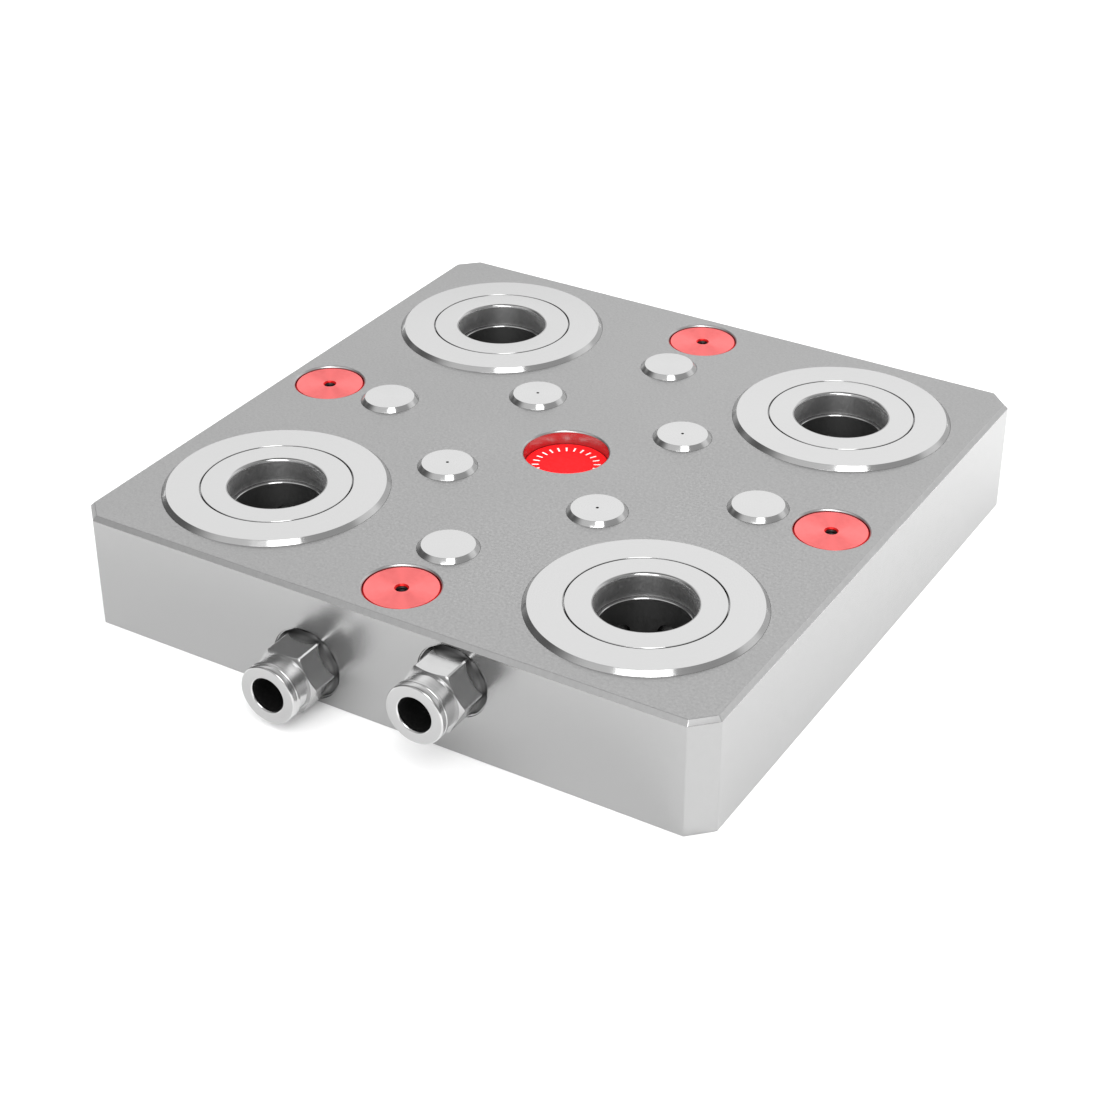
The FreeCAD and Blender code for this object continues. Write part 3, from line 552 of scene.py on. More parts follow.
def runout_nickel_painted_shade():
    """The hollow run-outs behind the spanner flats: tool marks and duller nickel towards the collar, with
    painted shade that darkens the colour towards the collar.
    """
    paint = Paint("runout_nickel_painted_shade", grey(0.3), 1, 0.35)
    split = paint.node("SeparateXYZ")
    paint.link(paint.place(), split.inputs["Vector"])
    near = (FLARE_END - 2) * MM
    # Painted shade: the colour darkens towards the collar, in the hollow.
    paint.to(paint.shade(split.outputs["Z"], grey(0.08), grey(0.5), near, FLARE_END * MM), "Base Color")
    paint.to(paint.ramp(split.outputs["Z"], 0.4, 0.24, near, FLARE_END * MM), "Roughness")
    paint.to(paint.bump(paint.noise(1, 3, (120, 120, 5200)), 0.0006), "Normal")
    return paint.material


def dark_plastic():
    """The black collet inside a push in fitting."""
    paint = Paint("dark_plastic", grey(0.003), 0, 0.7, Specular_IOR_Level=0.1)
    grain = paint.noise(1600, 3)
    paint.to(paint.shade(grain, grey(0.002), grey(0.005)), "Base Color")
    paint.to(paint.bump(grain, 0.01), "Normal")
    return paint.material


def rubber():
    paint = Paint("rubber", grey(0.02), 0, 0.55)
    grain = paint.noise(1800, 3)
    paint.to(paint.shade(grain, grey(0.012), grey(0.03)), "Base Color")
    paint.to(paint.bump(grain, 0.01), "Normal")
    return paint.material


def black_steel():
    """Blackened screws, a little worn to bare metal."""
    paint = Paint("black_steel", grey(0.05), 0.9, 0.4)
    wear = paint.noise(420, 5)
    paint.to(paint.shade(wear, grey(0.025), grey(0.1), 0.35, 0.75), "Base Color")
    paint.to(paint.ramp(paint.noise(1300, 2), 0.32, 0.5), "Roughness")
    paint.to(paint.bump(paint.noise(2600, 2), 0.006), "Normal")
    return paint.material


def spring_steel():
    paint = Paint("spring_steel", grey(0.16), 1, 0.42)
    grain = paint.noise(1500, 4)
    paint.to(paint.shade(grain, (0.1, 0.095, 0.09), (0.22, 0.21, 0.2)), "Base Color")
    paint.to(paint.bump(grain, 0.008), "Normal")
    return paint.material


def bearing_steel():
    """Polished balls with the thin film of grease they run in, their colour darkened nearly to black: painted
    shade deep in the bore.
    """
    # The near-black colour is painted shade.
    paint = Paint("bearing_steel", grey(0.04), 1, 0.4)
    film = paint.noise(260, 4)
    paint.to(paint.shade(film, grey(0.03), grey(0.05)), "Base Color")
    paint.to(paint.ramp(film, 0.36, 0.48), "Roughness")
    paint.to(paint.bump(paint.noise(900, 3), 0.002), "Normal")
    return paint.material


def pale_floor():
    paint = Paint("pale_floor", grey(0.93), 0, 0.9)
    paint.to(paint.shade(paint.noise(6, 3), grey(0.925), grey(0.935)), "Base Color")
    return paint.material


BLASTED = blasted_steel()
GROUND = ground_steel()
CUT = cut_steel()
BORED = bored_steel()
RING = turned_steel("ring_steel", 0.65, 0.14)
SEAT = turned_steel("seat_steel", 0.65, 0.14)
# A brighter copy of the ring steel for the bore wall: painted light.
BORE_PAINTED_LIGHT = turned_steel("bore_steel_painted_light", 0.92, 0.38, stretch=0.5)
# A darker copy of the ring steel for the relief, ledge and cage inside the bore: painted shade.
CAVITY_PAINTED_SHADE = turned_steel("cavity_painted_shade", 0.24, 0.5, marks=4000)
PAD = turned_steel("pad_steel", 0.66, 0.14, marks=7000)
PISTON = turned_steel("piston_steel", 0.14, 0.45, marks=4000, depth=0.002)
RED_CAP = red_anodised()
RED_EDGE = red_edge()
RED_DISC = printed_disc()
NICKEL = nickel_plate("nickel_plate", 0.64)
# A darker copy of the nickel for faces turned along the fitting's axis: painted shade.
NICKEL_FACE_PAINTED_SHADE = nickel_plate("nickel_face_painted_shade", 0.46)
RUNOUT_PAINTED_SHADE = runout_nickel_painted_shade()
COLLET = dark_plastic()
RUBBER = rubber()
BLACK = black_steel()
SPRING = spring_steel()
BALL = bearing_steel()

# Pieces


def finish_piece(thing, body, slot, material, *stands_for):
    """Give a piece its material and its body, and hide the nodes it stands for; the slot is not used."""
    if material is not None:
        thing.data.materials.clear()
        thing.data.materials.append(material)
    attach(thing, body)
    if stands_for:
        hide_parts(*stands_for)


def turned_piece(name, points, spot, segments, rounding=0.08, turn=None):
    mesh = turned_mesh(name, profile(points, rounding), segments)
    return new_object(name, mesh, spot, turn)


def quarter_turns(x, y):
    return [(x, y), (-y, x), (-x, -y), (y, -x)]


def screw_spots():
    """Places of the screws round every module, as quarter turns of the first one's."""
    spots = []
    for k in range(SCREW_COUNT):
        angle = math.radians(SCREW_TURN + 360 / SCREW_COUNT * k)
        x = SCREW_RING * math.cos(angle) - pitch / 2
        y = SCREW_RING * math.sin(angle) - pitch / 2
        spots += quarter_turns(x, y)
    return spots


# A quarter turn that lays the Z axis along -Y (out of the front, in from the back) or along X
OUTWARD = FROM_BACK = Matrix.Rotation(math.radians(90), 4, "X")
FROM_LEFT = Matrix.Rotation(math.radians(90), 4, "Y")


def plate_cutters():
    """Every hole of the plate, as turned solids that run past its faces."""
    over, under = plate_top + 3, -3
    pocket = [(0, POCKET_FLOOR), (POCKET_R, POCKET_FLOOR), (POCKET_R, RING_SEAT - 1),
              (POCKET_R + 1, RING_SEAT), (RING_R, RING_SEAT), (RING_R, over), (0, over)]
    pad = [(0, PAD_SEAT), (PAD_R, PAD_SEAT), (PAD_R, over), (0, over)]
    bolt = [(0, under), (BOLT_R, under), (BOLT_R, BOLT_SEAT), (CAP_HOLE_R, BOLT_SEAT),
            (CAP_HOLE_R, plate_top - HOLE_CUT), (CAP_HOLE_R + HOLE_CUT, plate_top),
            (CAP_HOLE_R + HOLE_CUT, over), (0, over)]
    shelf = level("centre_disc", top=False)
    middle = [(0, under), (CENTRE_LOW_R, under), (CENTRE_LOW_R, shelf), (CENTRE_R, shelf),
              (CENTRE_R, plate_top - HOLE_CUT), (CENTRE_R + HOLE_CUT, plate_top),
              (CENTRE_R + HOLE_CUT, over), (0, over)]
    head = [(0, under), (3, under), (3, 3.2), (1.7, 3.2), (1.7, RING_SEAT + 1), (0, RING_SEAT + 1)]
    port = [(0, -PORT_DEPTH), (PORT_R, -PORT_DEPTH), (PORT_R, -SPOT_T), (SPOT_R, -SPOT_T),
            (SPOT_R, 3), (0, 3)]
    plug = [(0, -3), (PLUG_R, -3), (PLUG_R, PLUG_ROOM), (0, PLUG_ROOM)]
    wanted = [(pocket, x, y, 192) for x, y in quarter_turns(-pitch / 2, -pitch / 2)]
    wanted += [(pad, x, y, 96) for x, y in quarter_turns(0, -PLAIN_PAD_AT)]
    wanted += [(pad, x, y, 96) for x, y in quarter_turns(-DRILLED_PAD_AT, -DRILLED_PAD_AT)]
    wanted += [(bolt, spot.x, spot.y, 96) for spot in cap_spots.values()]
    wanted += [(middle, 0, 0, 128)]
    wanted += [(head, x, y, 40) for x, y in screw_spots()]
    cutters = [turned_piece("cutter", points, (x, y, 0), segments, 0)
               for points, x, y, segments in wanted]
    for spot in port_spots.values():
        cutters.append(turned_piece("cutter", port, (spot.x, -half_side, spot.z), 96, 0, OUTWARD))
    for height in way_heights():
        for y in (-pitch / 2, pitch / 2):
            cutters.append(turned_piece("cutter", plug, (-half_side, y, height), 40, 0, FROM_LEFT))
        cutters.append(turned_piece("cutter", plug, (-pitch / 2, half_side, height), 40, 0, FROM_BACK))
    return joined(cutters)


def way_heights():
    """The two levels of the air ways, from the plugs' box."""
    return (level("way_plugs", top=False) + PLUG_R, level("way_plugs") - PLUG_R)


def base_plate():
    edge, cut = half_side, half_side - CORNER_CUT
    corners = [(cut, -edge), (edge, -cut), (edge, cut), (cut, edge),
               (-cut, edge), (-edge, cut), (-edge, -cut), (-cut, -edge)]
    plate = new_object("plate", prism_mesh("plate", corners, 0, plate_top))
    cut_top_edge(plate)
    combine(plate, plate_cutters(), "DIFFERENCE")
    broken_edges(plate)
    smooth(plate)
    plate.data.materials.clear()
    for material in (BLASTED, GROUND, BORED, CUT):
        plate.data.materials.append(material)
    for face in plate.data.polygons:
        face.material_index = plate_finish(face)
    finish_piece(plate, "base", "plate_steel", None, "base_plate")


def cut_top_edge(plate):
    """The one millimetre cut along the plate's upper edge."""
    mesh = bmesh.new()
    mesh.from_mesh(plate.data)
    high = plate_top * MM - 1e-6
    edges = [edge for edge in mesh.edges if all(vert.co.z > high for vert in edge.verts)]
    bmesh.ops.bevel(mesh, geom=edges, offset=TOP_CUT * MM, offset_type="OFFSET", segments=1,
                    affect="EDGES", clamp_overlap=True)
    mesh.to_mesh(plate.data)
    mesh.free()


def plate_finish(face):
    """A face's finish: 0 on the top, 1 on the outside and underside, 2 in a hole, 3 on a cut edge."""
    x, y, z = face.center / MM
    if z > plate_top - 0.03:
        return 0
    if z > plate_top - TOP_CUT and 0.3 < face.normal.z < 0.95:
        return 3
    reach = max(abs(x), abs(y), (abs(x) + abs(y) + CORNER_CUT) / 2)
    outside = reach > half_side - 1.2 and abs(face.normal.z) < 0.9
    return 1 if outside or z < 0.03 else 2


def cover_ring(name):
    spot = module_spots[name]
    low = level("cover_ring_" + name, top=False)
    lip_low = rest_top - LIP_DEPTH
    far = RING_R - RING_GAP
    points = [(LIP_R, lip_low, 0), (LIP_R, rest_top - LIP_CUT, 0.04), (LIP_R + LIP_CUT, rest_top, 0.04),
              (RING_R - RING_EDGE, rest_top, 0.1), (far, rest_top - RING_EDGE - RING_GAP, 0.08),
              (far, RING_SEAT, 0), (POCKET_R - 0.1, RING_SEAT, 0), (POCKET_R - 0.1, low),
              (FLANGE_R + 0.05, low), (FLANGE_R + 0.05, lip_low, 0)]
    ring = turned_piece("outer_ring_" + name, points, (spot.x, spot.y, 0), 224)
    smooth(ring)
    finish_piece(ring, "base", "ring_steel", RING, "cover_ring_" + name)


def seat_ring(name, number):
    """The inner ring: bore with a rounded mouth, a relief darkened with painted shade, a ledge with a bright
    edge, the ball cage.
    """
    spot = module_spots[name]
    low = level("cover_ring_" + name, top=False)
    boss = LIP_R - GROOVE
    relief, ledge, flange = rest_top - BORE_DEPTH, rest_top - LEDGE_DEPTH, rest_top - LIP_DEPTH
    points = [(BORE_R, relief, 0.05), (BORE_R, rest_top, MOUTH_ROUNDING), (boss - LIP_CUT, rest_top, 0.04),
              (boss, rest_top - LIP_CUT, 0.04), (boss, flange, 0), (FLANGE_R, flange, 0.1),
              (FLANGE_R, low, 0.1), (CAGE_R, low, 0.1), (CAGE_R, CAGE_END, 0.2),
              (CAGE_IN_R, CAGE_END, 0.2), (CAGE_IN_R, ledge - LEDGE_EDGE, 0),
              (CAGE_IN_R + LEDGE_EDGE, ledge, 0), (RELIEF_R, ledge, 0.05), (RELIEF_R, relief, 0.05)]
    ring = turned_piece("inner_ring_" + name, points, (spot.x, spot.y, 0), 192)
    windows = []
    for k in range(BALL_COUNT):
        angle = math.radians(90 * number + 360 / BALL_COUNT * k)
        window = [(0, BALL_RING - WINDOW_R), (WINDOW_NEAR, BALL_RING - WINDOW_FAR, 0),
                  (WINDOW_FAR, BALL_RING - WINDOW_NEAR, 0), (WINDOW_R, BALL_RING, 0),
                  (WINDOW_R, CAGE_R + 1, 0), (0, CAGE_R + 1)]
        turn = Matrix.Rotation(angle, 4, "Z") @ Matrix.Rotation(math.radians(90), 4, "Y")
        windows.append(turned_piece("window", window, (spot.x, spot.y, BALL_Z), 40, 0, turn))
    combine(ring, joined(windows), "DIFFERENCE")
    smooth(ring)
    ring.data.materials.clear()
    for material in (SEAT, BORE_PAINTED_LIGHT, CAVITY_PAINTED_SHADE):
        ring.data.materials.append(material)
    for face in ring.data.polygons:
        x, y, z = face.center / MM
        reach = math.hypot(x, y)
        bright_edge = reach < CAGE_IN_R + LEDGE_EDGE + 0.01 and 0.01 < ledge - z < LEDGE_EDGE + 0.01
        # The bore wall gets the brighter copy, painted light; below the relief the darker copy, painted
        # shade; the ledge's edge keeps the ring steel.
        if reach < RELIEF_R + 0.1 and z < rest_top - 0.6 and not bright_edge:
            face.material_index = 1 if z > relief + 0.02 else 2
    finish_piece(ring, "base", "ring_steel", None, "seat_ring_" + name)


def piston(name):
    spot = module_spots[name]
    low = level("piston_" + name, top=False)
    high = level("piston_" + name)
    wedge_top = WEDGE_LOW + (WEDGE_OUT_R - WEDGE_IN_R) / WEDGE_SLOPE
    points = [(0, low), (PISTON_FOOT_R, low, 0.3), (PISTON_FOOT_R, PISTON_FOOT_END, 0.1),
              (PISTON_R, PISTON_FOOT_END, 0.2), (PISTON_R, PISTON_SEAL_LOW), (PISTON_SEAL_R, PISTON_SEAL_LOW),
              (PISTON_SEAL_R, PISTON_SEAL_HIGH), (PISTON_R, PISTON_SEAL_HIGH), (PISTON_R, high, 0.2),
              (WEDGE_IN_R, high), (WEDGE_IN_R, wedge_top), (WEDGE_OUT_R, WEDGE_LOW, 0.3),
              (WEDGE_OUT_R, PISTON_FLOOR, 0.6), (0, PISTON_FLOOR)]
    cup = turned_piece("piston_cup_" + name, points, (spot.x, spot.y, 0), 128)
    smooth(cup)
    finish_piece(cup, "piston_" + name, "piston_steel", PISTON, "piston_" + name)


def disc_springs(name):
    """Coned discs laid face to face and back to back, flatter when the piston is up."""
    node = "spring_stack_" + name
    spot = module_spots[name]
    low, high = level(node, top=False), level(node)
    step = (high - low) / DISC_COUNT
    discs = []
    for k in range(DISC_COUNT):
        foot = low + step * k
        near, far = (DISC_OUT_R, DISC_IN_R) if k % 2 == 0 else (DISC_IN_R, DISC_OUT_R)
        points = [(near, foot), (near, foot + DISC_T), (far, foot + step), (far, foot + step - DISC_T)]
        discs.append(turned_piece("disc_springs_" + name, points, (spot.x, spot.y, 0), 96, 0.1))
    springs = smooth(joined(discs))
    finish_piece(springs, "base", "spring_steel", SPRING, node)
    applied(springs)
    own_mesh(springs)


def lock_balls(name):
    for k in range(BALL_COUNT):
        node = "lock_ball_%s_%d" % (name, k + 1)
        mesh = bmesh.new()
        bmesh.ops.create_icosphere(mesh, subdivisions=4, radius=BALL_R * MM)
        data = bpy.data.meshes.new("ball")
        mesh.to_mesh(data)
        mesh.free()
        piece = new_object("ball_%s_%d" % (name, k + 1), data, centre_of(node))
        for face in data.polygons:
            face.use_smooth = True
        finish_piece(piece, "ball_%s_%d" % (name, k + 1), "ball_steel", BALL, node)


def rest_pads():
    """Eight pads, each its own piece; four have a fine hole down the middle."""
    far = PAD_R - RING_GAP
    cone = [(far, PAD_SEAT, 0.1), (far, rest_top - RING_EDGE - RING_GAP, 0.08),
            (PAD_R - RING_EDGE, rest_top, 0.1)]
    plain = [(0, PAD_SEAT)] + cone + [(0, rest_top)]
    drilled = [(PAD_HOLE_R, PAD_SEAT, 0)] + cone + [(PAD_HOLE_R, rest_top, 0)]
    made = {"plain_pads": [], "drilled_pads": []}
    for word, (x, y) in zip(SIDES, quarter_turns(0, -PLAIN_PAD_AT)):
        made["plain_pads"].append(turned_piece("plain_pad_" + word, plain, (x, y, 0), 112))
    for number, (x, y) in enumerate(quarter_turns(-DRILLED_PAD_AT, -DRILLED_PAD_AT)):
        made["drilled_pads"].append(turned_piece("drilled_pad_%d" % (number + 1), drilled, (x, y, 0), 112))
    for node, pads in made.items():
        for pad in pads:
            finish_piece(smooth(pad), "base", "pad_steel", PAD, node)


def hole_cap(name):
    """A red cap with a short tapped hole in its middle."""
    spot = cap_spots[name]
    low, high = level("hole_cap_" + name, top=False), level("hole_cap_" + name)
    edge = CAP_HOLE_R - CAP_GAP
    seal_low, seal_high = low + CAP_SEAL_AT - CAP_SEAL_HALF, low + CAP_SEAL_AT + CAP_SEAL_HALF
    points = [(TAP_LOW_R, low, 0), (edge, low, 0.1), (edge, seal_low), (CAP_SEAL_R, seal_low),
              (CAP_SEAL_R, seal_high), (edge, seal_high), (edge, high - CAP_EDGE, 0.06),
              (edge - CAP_EDGE, high, 0.03), (TAP_MOUTH_R, high, 0.05),
              (TAP_THROAT_R, high - TAP_MOUTH_DEPTH, 0.03)]
    for turn in range(TAP_TURNS):
        crest = high - 0.6 - TAP_PITCH * turn
        points += [(TAP_HIGH_R, crest, 0.05), (TAP_LOW_R, crest - TAP_MOUTH_DEPTH, 0.05)]
    cap = turned_piece("red_cap_" + name, points, (spot.x, spot.y, 0), 144)
    smooth(cap, 35)
    cap.data.materials.clear()
    for material in (RED_CAP, RED_EDGE, BLACK):
        cap.data.materials.append(material)
    for face in cap.data.polygons:
        x, y, z = face.center / MM
        in_hole = math.hypot(x, y) < TAP_MOUTH_R - 0.02
        # Hole walls get the darker red and, deeper down, the black steel: painted shade.
        if in_hole or z < high - 0.02:
            face.material_index = 2 if in_hole and z < high - TAP_PITCH else 1
    finish_piece(cap, "base", "red_cap", None, "hole_cap_" + name)


def centre_disc():
    low, high = level("centre_disc", top=False), level("centre_disc")
    edge = CENTRE_R - 0.02
    points = [(0, low), (edge, low, 0.1), (edge, high - 0.15, 0.05), (edge - 0.15, high, 0.05), (0, high)]
    disc = turned_piece("centre_mark", points, (0, 0, 0), 144)
    smooth(disc)
    finish_piece(disc, "base", "red_disc", RED_DISC, "centre_disc")


def hexagon(name, spot):
    """The spanner flats: worn corners, a turned chamfer in front, hollow run-outs behind.

    Each level has a height, how far its flats stand out, and how far it drops towards the corners."""
    across = 8
    levels = [(-2, FLARE_ARC * (1 - math.cos(FLARE_TURN)), 0)]
    for step in range(10):
        angle = FLARE_TURN * (1 - step / 9)
        height, rise = FLARE_END - FLARE_ARC * math.sin(angle), FLARE_ARC * (1 - math.cos(angle))
        levels.append((height, rise, FLARE_DROP))
    levels.append((HEX_END, 0, 0))
    mesh = bmesh.new()
    rings = []
    for height, rise, drop in levels:
        out = HEX_ACROSS / 2 + rise
        half = out * math.tan(math.radians(30)) - HEX_WORN / 2
        ring = []
        for k in range(6):
            turn = Matrix.Rotation(math.radians(60 * k + 30), 2)
            for step in range(across + 1):
                aside = 2 * step / across - 1
                corner = turn @ Vector((out, aside * half))
                low = max(height - drop * aside * aside, -1.99)
                ring.append(mesh.verts.new((corner.x * MM, corner.y * MM, low * MM)))
        rings.append(ring)
    mesh.faces.new(list(reversed(rings[0])))
    mesh.faces.new(rings[-1])
    for low, high in zip(rings, rings[1:]):
        for k in range(len(low)):
            after = (k + 1) % len(low)
            mesh.faces.new((low[k], low[after], high[after], high[k]))
    data = bpy.data.meshes.new(name)
    mesh.to_mesh(data)
    mesh.free()
    prism = new_object(name, data, spot, OUTWARD)
    foot = -SPOT_T + 0.02
    limit = [(0, foot), (FLARE_R, foot), (FLARE_R, HEX_END - 0.89), (6.95, HEX_END + 0.03),
             (6.95, HEX_END + 2), (0, HEX_END + 2)]
    combine(prism, turned_piece("limit", limit, spot, 160, 0, OUTWARD), "INTERSECT")
    broken_edges(prism, 0.05, 12)
    for face in prism.data.polygons:
        # The hollows and the part sunk in the spot face get the painted shade material.
        hollow = face.normal.z > 0.05 and face.center.z < FLARE_END * MM
        # Faces turned forwards get the darker nickel copy: painted shade.
        face.material_index = 2 if hollow or face.center.z < 0 else int(face.normal.z > 0.3)
    return prism


def tube_fitting(name):
    """A push in fitting's screwed in body: collar, hexagon, neck and threaded stem."""
    spot = (port_spots[name].x, -half_side, port_spots[name].z)
    foot, core, room = -SPOT_T + 0.03, NECK_R + 0.1, SLEEVE_IN_R + 0.05
    points = [(STEM_BORE_R, -STEM_END, 0), (4.2, -STEM_END, 0.1)]
    for turn in range(STEM_TURNS):
        crest = -STEM_END + 0.7 + STEM_PITCH * turn
        points += [(STEM_CREST_R, crest, 0.04), (STEM_ROOT_R, crest + 0.47, 0.04)]
    points += [(STEM_ROOT_R, foot, 0), (core, foot, 0), (core, HEX_END - 0.2, 0),
               (NECK_R, HEX_END + 0.25, 0.35), (NECK_R, NECK_END, 0.15), (room, NECK_END, 0.1),
               (room, 4.6, 0), (TUBE_R, 4.6, 0.1), (TUBE_R, 3, 0), (STEM_BORE_R, 3, 0.1)]
    body = turned_piece(name + "_fitting_turned", points, spot, 144, 0.05, OUTWARD)
    flats = hexagon(name + "_fitting_flats", spot)
    fitting = joined([body, flats])
    smooth(fitting, 24)
    # The nickel, then its darker copy for forward faces, then the run-out material: both are painted shade.
    for material in (NICKEL, NICKEL_FACE_PAINTED_SHADE, RUNOUT_PAINTED_SHADE):
        fitting.data.materials.append(material)
    finish_piece(fitting, "base", "nickel_brass", None, name + "_fitting")


def release_sleeve(name):
    spot = (port_spots[name].x, -half_side, port_spots[name].z)
    skirt, groove = NECK_R + 0.07, SLEEVE_R - 0.12
    points = [(TUBE_R, 5.8, 0.2), (SLEEVE_IN_R, 5.8, 0.2), (SLEEVE_IN_R, 13.1, 0), (skirt, 13.1, 0),
              (skirt, 11.4, 0.02), (groove, 11.4, 0.03), (SLEEVE_R, 11.55, 0.2), (SLEEVE_R, 12.2, 0.12),
              (groove, 12.32, 0.05), (groove, 12.58, 0.05), (SLEEVE_R, 12.7, 0.12),
              (SLEEVE_R, SLEEVE_END, 0.4), (TUBE_R, SLEEVE_END, 0.45)]
    sleeve = turned_piece(name + "_sleeve_ring", points, spot, 144, 0.05, OUTWARD)
    smooth(sleeve, 35)
    sleeve.data.materials.append(NICKEL)
    sleeve.data.materials.append(NICKEL_FACE_PAINTED_SHADE)
    # End faces get the darker nickel copy: painted shade.
    for face in sleeve.data.polygons:
        face.material_index = int(face.normal.z > 0.9)
    finish_piece(sleeve, name + "_sleeve", "nickel_brass", None, name + "_sleeve")
    outer, inner = TUBE_R - 0.01, TUBE_R - 0.35
    liner = [(outer, 5.9, 0), (outer, 13.35, 0), (inner, 12.6, 0), (inner, 6.5, 0)]
    collet = turned_piece(name + "_collet", liner, spot, 96, 0, OUTWARD)
    finish_piece(smooth(collet), name + "_sleeve", "seal_rubber", COLLET)
    # A black disc inside the tube hole: painted shadow.
    plug = [(0, 2.6), (2.7, 2.6, 0), (2.7, 3.1, 0), (0, 3.1)]
    dark = turned_piece(name + "_flow_shadow", plug, spot, 48, 0, OUTWARD)
    finish_piece(dark, "base", "seal_rubber", COLLET)


def socket_head(name, spot, radius, depth, turn=None):
    """A round head with a hexagon socket sunk in the end that faces -Z."""
    rim = [(0, 0), (radius - 0.25, 0, 0), (radius, 0.25, 0), (radius, depth, 0), (0, depth)]
    head = turned_piece(name, rim, spot, 40, 0, turn)
    corners = [(SOCKET_R * math.cos(math.radians(60 * k)), SOCKET_R * math.sin(math.radians(60 * k)))
               for k in range(6)]
    socket = new_object("socket", prism_mesh("socket", corners, -1, SOCKET_DEPTH), spot, turn)
    combine(head, socket, "DIFFERENCE")
    return head


def module_screws():
    """The heads under the plate, their shanks left to the solids."""
    first = socket_head("module_screw_heads", (0, 0, HEAD_SINK), HEAD_R, HEAD_DEPTH)
    mesh = first.data
    bpy.data.objects.remove(first)
    heads = [new_object("module_screw_heads", mesh.copy(), (x, y, HEAD_SINK)) for x, y in screw_spots()]
    screws = joined(heads)
    smooth(screws)
    finish_piece(screws, "base", "screw_steel", BLACK, "module_screws")


def way_plugs():
    face = half_side - PLUG_SINK
    spots = []
    for height in way_heights():
        spots += [((-face, y, height), FROM_LEFT) for y in (-pitch / 2, pitch / 2)]
        spots.append(((-pitch / 2, face, height), FROM_BACK))
    plugs = joined([socket_head("air_way_plugs", spot, PLUG_R - 0.05, PLUG_LENGTH, turn)
                    for spot, turn in spots])
    smooth(plugs)
    finish_piece(plugs, "base", "screw_steel", BLACK, "way_plugs")


def finish_nodes():
    """Every CAD node gets a finish by the start of its name; the seals, which stay, are shaded smooth."""
    finishes = {"piston_seal": RUBBER, "cover_seals": RUBBER, "cap_seals": RUBBER,
                "base_plate": GROUND, "cover_ring": RING, "seat_ring": SEAT, "piston_": PISTON,
                "lock_ball": BALL, "hole_cap": RED_CAP, "centre_disc": RED_DISC, "plain_pads": PAD,
                "drilled_pads": PAD, "release": NICKEL, "boost": NICKEL, "module_screws": BLACK,
                "way_plugs": BLACK, "spring_stack": SPRING}
    for node, thing in nodes.items():
        found = [look for start, look in finishes.items() if node.startswith(start)][0]
        for slot in thing.material_slots:
            slot.material = found
        if found == RUBBER:
            for face in thing.data.polygons:
                face.use_smooth = True


base_plate()
for number, name in enumerate(MODULES):
    cover_ring(name)
    seat_ring(name, number)
    piston(name)
    disc_springs(name)
    lock_balls(name)
rest_pads()
for name in SIDES:
    hole_cap(name)
centre_disc()
for name in PORTS:
    tube_fitting(name)
    release_sleeve(name)
module_screws()
way_plugs()
finish_nodes()

# Studio: the camera's place in millimetres, the floor and the lamps in metres

AZIMUTH = math.radians(31.2176)
ELEVATION = math.radians(31.7264)
ROLL = math.radians(-0.0912)
DISTANCE = 539.19
ASIDE = -3.837
ABOVE = 0.7898
LENS = 73.49
FLOOR_SIZE = 6
FLOOR_GAP = 0.0001
SKY_LEVEL = 0.4
SKY_BAND = 0.6
BAND_SIDE = (-0.52, 0.855, 0)
SKY_PARTS = (((0, 1, 0), 0.3, 0.9, 0.18), ((-0.1, -0.55, 0.83), 0.8, 0.97, 0.3),
             ((0.57, 0.68, 0.47), 0.95, 0.995, 0.3), ((-0.93, -0.05, 0.37), 0.8, 0.98, -0.27),
             ((0.95, -0.1, 0.28), 0.85, 0.98, -0.14), ((-0.1, 0, 1), 0.88, 0.975, -0.28))


def camera():
    """The photograph's own view, from a fit to the plate's corners and rings."""
    back = Vector((math.sin(AZIMUTH) * math.cos(ELEVATION), -math.cos(AZIMUTH) * math.cos(ELEVATION),
                   math.sin(ELEVATION)))
    right = Vector((0, 0, 1)).cross(back).normalized()
    up = back.cross(right)
    across = right * math.cos(ROLL) + up * math.sin(ROLL)
    upward = up * math.cos(ROLL) - right * math.sin(ROLL)
    data = bpy.data.cameras.new("camera")
    data.lens = LENS
    data.sensor_width = 36
    data.clip_start = 0.01
    eye = bpy.data.objects.new("camera", data)
    bpy.context.scene.collection.objects.link(eye)
    place = (across * ASIDE + upward * ABOVE + back * DISTANCE) * MM
    turn = Matrix((across, upward, back)).transposed().to_4x4()
    eye.matrix_world = Matrix.Translation(place) @ turn
    bpy.context.scene.camera = eye


def softbox(name, place, width, height, power):
    data = bpy.data.lights.new(name, "AREA")
    data.shape = "RECTANGLE"
    data.size = width
    data.size_y = height
    data.energy = power
    lamp = bpy.data.objects.new(name, data)
    bpy.context.scene.collection.objects.link(lamp)
    aim = -Vector(place)
    lamp.matrix_world = Matrix.Translation(Vector(place)) @ aim.to_track_quat("-Z", "Y").to_matrix().to_4x4()
    return lamp


def sun(name, towards, strength, width):
    """A far round light of a given width in degrees."""
    data = bpy.data.lights.new(name, "SUN")
    data.energy = strength
    data.angle = math.radians(width)
    lamp = bpy.data.objects.new(name, data)
    bpy.context.scene.collection.objects.link(lamp)
    lamp.matrix_world = Vector(towards).to_track_quat("Z", "Y").to_matrix().to_4x4()
    return lamp


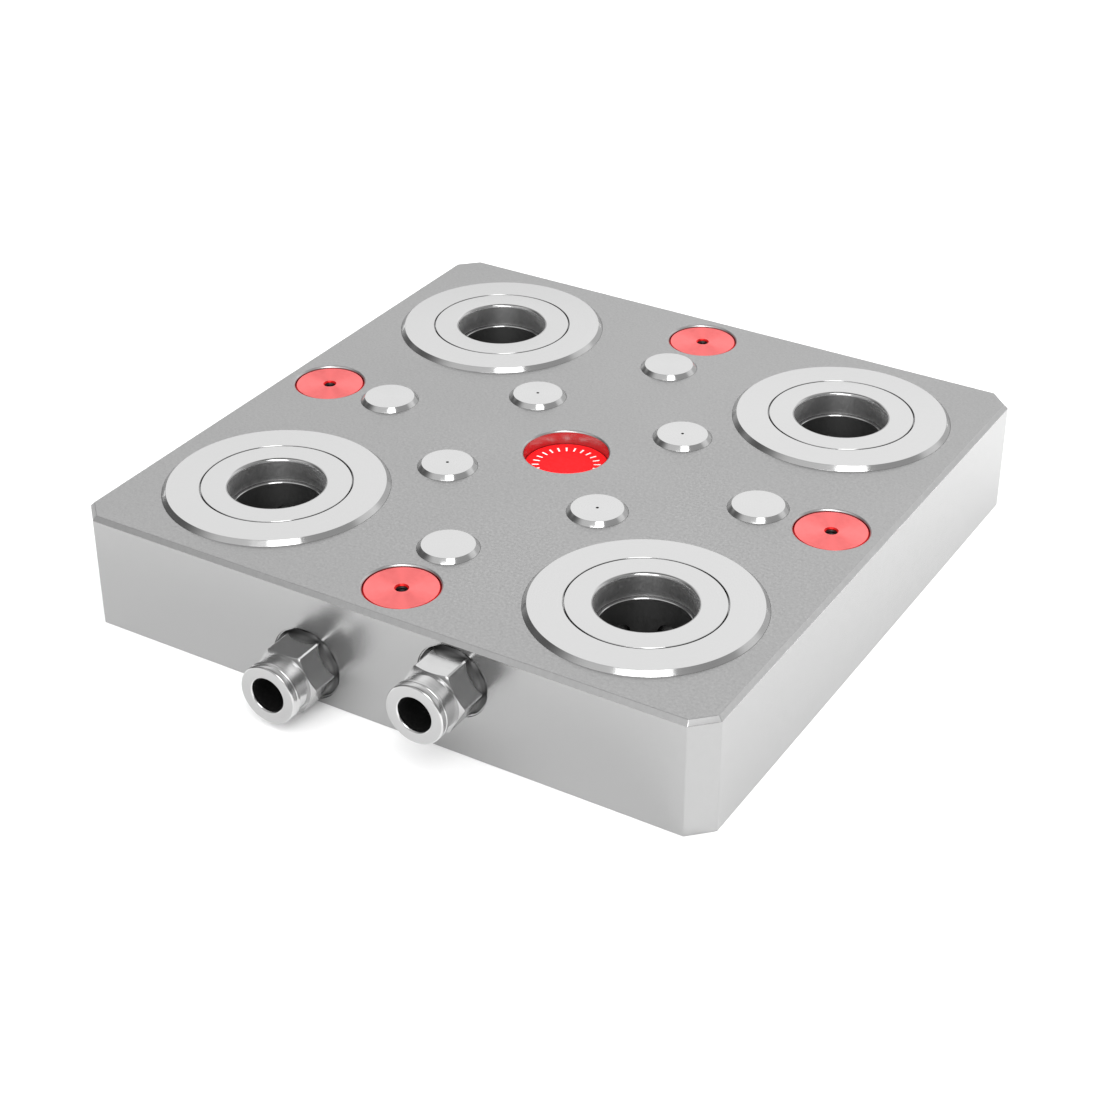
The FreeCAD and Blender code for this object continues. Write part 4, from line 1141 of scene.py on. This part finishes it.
def sky():
    """Soft studio light from all round: a bright band behind the plate, darker at its sides.

    Each part is a direction, the cosines where it begins and where it is whole, and its amount."""
    world = bpy.data.worlds.new("studio")
    world.use_nodes = True
    tree = world.node_tree
    spot = tree.nodes.new("ShaderNodeTexCoord")

    def part(towards, begin, whole):
        turn = tree.nodes.new("ShaderNodeVectorMath")
        turn.operation = "DOT_PRODUCT"
        turn.inputs[1].default_value = Vector(towards).normalized()
        tree.links.new(spot.outputs["Generated"], turn.inputs[0])
        spread = tree.nodes.new("ShaderNodeMapRange")
        spread.interpolation_type = "SMOOTHSTEP"
        spread.inputs["From Min"].default_value = begin
        spread.inputs["From Max"].default_value = whole
        tree.links.new(turn.outputs["Value"], spread.inputs["Value"])
        return spread.outputs["Result"]

    def both(operation, *values):
        made = tree.nodes.new("ShaderNodeMath")
        made.operation = operation
        for k, value in enumerate(values):
            if isinstance(value, (int, float)):
                made.inputs[k].default_value = value
            else:
                tree.links.new(value, made.inputs[k])
        return made.outputs["Value"]

    band = both("MULTIPLY", part((0, 0, 1), 0.3, 0.46), part((0, 0, 1), 0.85, 0.62))
    total = both("MULTIPLY_ADD", both("MULTIPLY", band, part(BAND_SIDE, 0.3, 0.8)), SKY_BAND, SKY_LEVEL)
    for towards, begin, whole, amount in SKY_PARTS:
        total = both("MULTIPLY_ADD", part(towards, begin, whole), amount, total)
    tree.links.new(total, tree.nodes["Background"].inputs["Strength"])
    tree.nodes["Background"].inputs["Color"].default_value = (1, 1, 1, 1)
    bpy.context.scene.world = world


def studio():
    size = FLOOR_SIZE
    mesh = bpy.data.meshes.new("floor")
    low = cad_box[0][2] - FLOOR_GAP
    mesh.from_pydata([(-size, -size, low), (size, -size, low), (size, size, low), (-size, size, low)],
                     [], [(0, 1, 2, 3)])
    floor = bpy.data.objects.new("floor", mesh)
    bpy.context.scene.collection.objects.link(floor)
    mesh.materials.append(pale_floor())
    sky()
    sun("key", (0.36, -0.38, 0.85), 0.4, 22)
    softbox("front_box", (0.4, -0.95, 0.8), 0.7, 0.6, 4)
    fill = sun("fill", (-0.05, -0.75, 0.65), 3.2, 110)
    right_box = softbox("right_box", (0.5, 0.55, 0.42), 0.5, 0.5, 7)
    for lamp in (fill, right_box):
        lamp.visible_glossy = False
    view = bpy.context.scene.view_settings
    view.view_transform = "Standard"
    view.look = "None"


camera()
studio()
